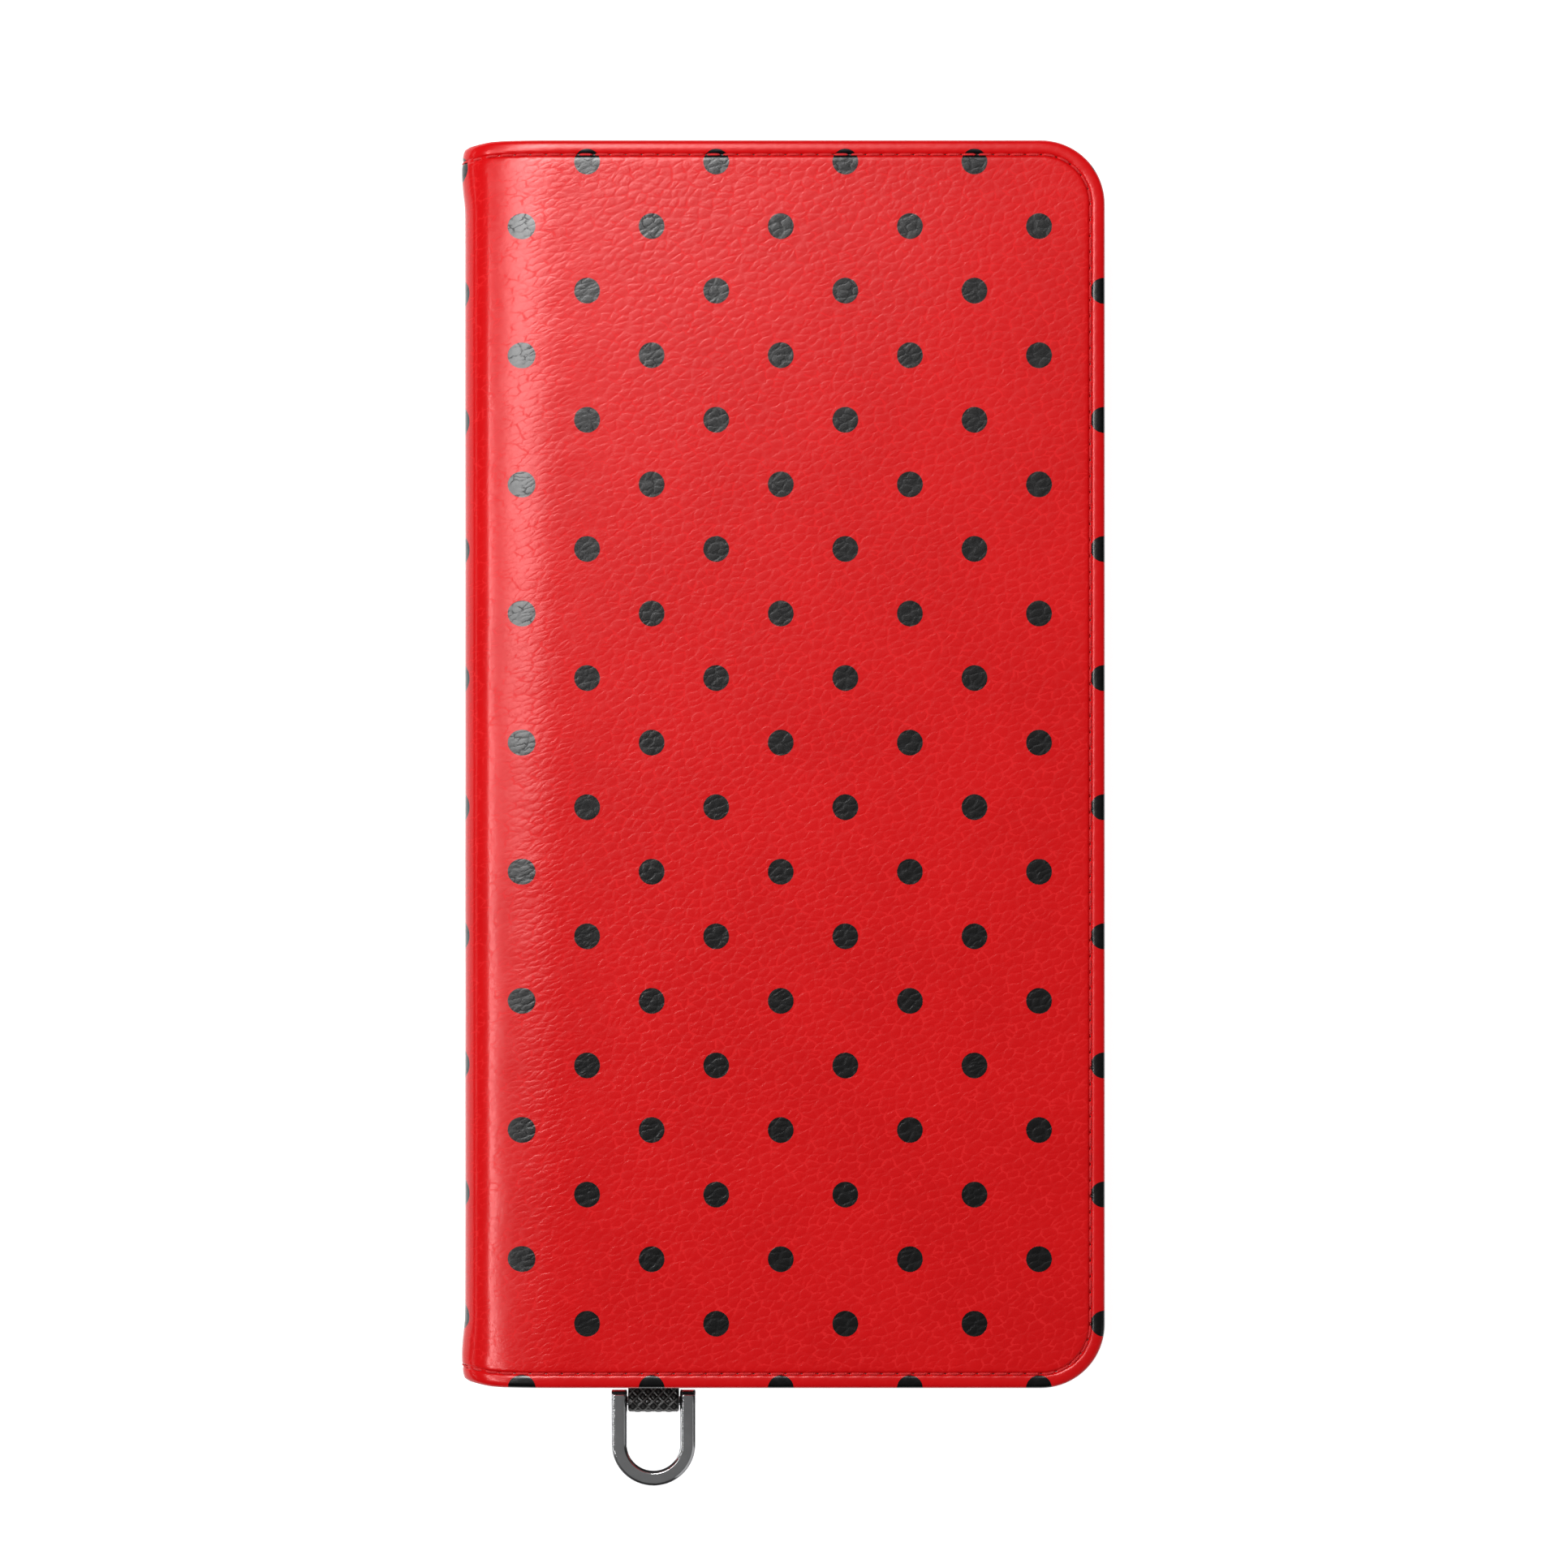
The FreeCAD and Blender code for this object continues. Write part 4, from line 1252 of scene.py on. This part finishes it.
def stitch_line(threads, start, end, z):
    """Adds the stitches of one straight seam on a sheet that faces down."""
    start, end = np.array(start, float), np.array(end, float)
    length = np.linalg.norm(end - start)
    ahead = (end - start) / length
    number = max(round(length / POCKET_STITCH), 1)
    pitch = length / number
    shares = np.linspace(0.0, 1.0, 9)
    height = z + 0.12 - 0.16 * (1 - np.abs(2 * shares - 1) ** 3)
    across = np.array((-ahead[1], ahead[0], 0.0)) * POCKET_THREAD[0]
    lift = np.array((0.0, 0.0, -POCKET_THREAD[1]))
    for n in range(number):
        x, y = start[:, None] + ahead[:, None] * pitch * (n + 0.1 + 0.8 * shares)
        threads.add(np.stack([x, y, height], axis=-1), across, lift, shares, pitch, downwards=True)


def pocket_seams(material):
    """Stitches at the ends of every card pocket and along the closed edge of the last."""
    threads = Threads(6)
    for number, name in enumerate(CARD_POCKETS):
        low, high = node_box(name)
        y = high.y - POCKET_SEAM_INSET
        last = name == CARD_POCKETS[-1]
        end = high.x - POCKET_SEAM_INSET if last else node_box(CARD_POCKETS[number + 1])[0].x
        lines = [((low.x + 0.9, side * y), (end, side * y)) for side in (-1, 1)]
        if last:
            lines.append(((end, -y), (end, y)))
        for start, finish in lines:
            stitch_line(threads, start, finish, low.z)
    seams = threads.mesh("pocket_seams")
    wear(seams, material)
    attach(seams, "front_cover")
    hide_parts("pocket_stitching")


def pockets():
    """All leather sheets and seams inside the front cover."""
    leather = pocket_leather()
    pocket_sheet("cash_pocket", 0.6, 4.7, False, leather)
    for name in CARD_POCKETS:
        pocket_sheet(name, 2.0, 2.0, True, leather)
    pocket_seams(thread("dark_thread", (0.05, 0.05, 0.053)))


# ---------------------------------------------------------------- camera, light and floor

CAMERA_HEIGHT = 700.0
VIEW_CENTRE_Y = -2.7
VIEW_WIDTH = 213.4
SENSOR = 36.0


def make_camera():
    """Long lens straight above the front cover, with +Y up in the picture."""
    data = bpy.data.cameras.new("camera")
    data.sensor_width = SENSOR
    data.lens = SENSOR * CAMERA_HEIGHT / VIEW_WIDTH
    data.clip_end = 10.0
    camera = bpy.data.objects.new("camera", data)
    camera.location = (0.0, VIEW_CENTRE_Y * MM, (THICKNESS + CAMERA_HEIGHT) * MM)
    bpy.context.scene.collection.objects.link(camera)
    bpy.context.scene.camera = camera


def softbox(name, place, target, width, height, power, turn):
    """Rectangular soft light aimed at a point."""
    data = bpy.data.lights.new(name, "AREA")
    data.shape = "RECTANGLE"
    data.size = width
    data.size_y = height
    data.energy = power
    light = bpy.data.objects.new(name, data)
    light.location = place
    aim = Vector(target) - Vector(place)
    light.rotation_euler = aim.to_track_quat("-Z", "Y").to_euler()
    light.rotation_euler.rotate_axis("Z", turn)
    light.visible_camera = False
    bpy.context.scene.collection.objects.link(light)


# axis of the direction, its two ends, and the light level at each
SURROUND = (
    (0, (-0.95, -0.3), (0.07, 0.0)),
    (2, (0.6, 0.92), (0.014, 0.105)),
)


# name, place and target in metres, width, height, power, and turn about its own axis in radians
SOFTBOXES = (
    ("key", (-0.16, 0.36, 0.77), (-0.16, 0.36, 0.0), 0.24, 0.32, 6.3, 0.0),
    ("strip", (-0.458, -0.1, 0.77), (-0.458, -0.1, 0.0), 0.05, 0.5, 2.1, 0.14),
    ("wash", (-0.255, 0.13, 0.77), (-0.255, 0.13, 0.0), 0.16, 0.26, 1.65, 0.0),
    ("edge", (-1.1, -0.05, 0.32), (0.0, -0.05, 0.0), 0.9, 0.05, 0.5, 0.0),
    ("fill", (0.88, -0.72, 0.6), (0.0, 0.0, 0.0), 1.1, 0.9, 1.2, 0.0),
)


def make_light():
    """Box above the top left corner, two boxes over the left side, a low edge light and a weak fill."""
    for row in SOFTBOXES:
        softbox(*row)


def make_surround():
    """Soft grey surround, lighter overhead and to the left, that the camera sees as plain white."""
    world = bpy.data.worlds.new("world")
    world.use_nodes = True
    tree = world.node_tree
    direction = tree.nodes.new("ShaderNodeTexCoord").outputs["Generated"]
    parts = tree.nodes.new("ShaderNodeSeparateXYZ")
    tree.links.new(direction, parts.inputs[0])
    total = tree.nodes.new("ShaderNodeMath")
    total.operation = "ADD"
    for number, (axis, ends, levels) in enumerate(SURROUND):
        level = tree.nodes.new("ShaderNodeMapRange")
        level.interpolation_type = "SMOOTHSTEP"
        tree.links.new(parts.outputs[axis], level.inputs[0])
        for socket, value in zip(level.inputs[1:5], (*ends, *levels)):
            socket.default_value = value
        tree.links.new(level.outputs[0], total.inputs[number])
    seen = tree.nodes.new("ShaderNodeMapRange")
    tree.links.new(tree.nodes.new("ShaderNodeLightPath").outputs["Is Camera Ray"], seen.inputs[0])
    tree.links.new(total.outputs[0], seen.inputs[3])
    seen.inputs[4].default_value = 1.0
    background = tree.nodes["Background"]
    background.inputs[0].default_value = WHITE
    tree.links.new(seen.outputs[0], background.inputs[1])
    bpy.context.scene.world = world


def make_floor():
    """Wide plain floor just under the case."""
    half = 3000.0
    corners = [(-half, -half, -0.1), (half, -half, -0.1), (half, half, -0.1), (-half, half, -0.1)]
    floor = new_object("floor", corners, [[0, 1, 2, 3]])
    wear(floor, floor_finish())


# ---------------------------------------------------------------- making the case

make_camera()
make_light()
make_surround()
make_floor()

leather_finish = printed_leather()
lining_finish = microfibre()
red_thread = thread("thread", (0.71, 0.026, 0.03))

front_leather = cover_leather("front_leather", False, leather_finish, "front_skin", "spine_skin")
back_leather = cover_leather("back_leather", True, leather_finish, "back_skin")
front_inside = cover_lining("front_lining_sheet", False, lining_finish, "front_lining", "spine_lining")
back_inside = cover_lining("back_lining_sheet", True, lining_finish, "back_lining")
cover_seam("front_seam", False, front_leather, front_inside, red_thread, "front_stitching", "spine_stitching")
cover_seam("back_seam", True, back_leather, back_inside, red_thread, "back_stitching")

webbing_tab(webbing())
metal = gunmetal()
ring_body(metal)
ring_pin(metal)
pockets()

CAD_FINISHES = (
    (card(), ("front_board", "back_board", "spine_stay")),
    (magnet_plate(), ("front_magnets", "back_magnets")),
    (bonding_film(), ("shell_adhesive",)),
    (shell_plastic(), ("phone_shell",)),
)
for finish, names in CAD_FINISHES:
    for name in names:
        wear(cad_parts[name], finish)

view = bpy.context.scene.view_settings
view.view_transform = "Standard"
view.look = "None"
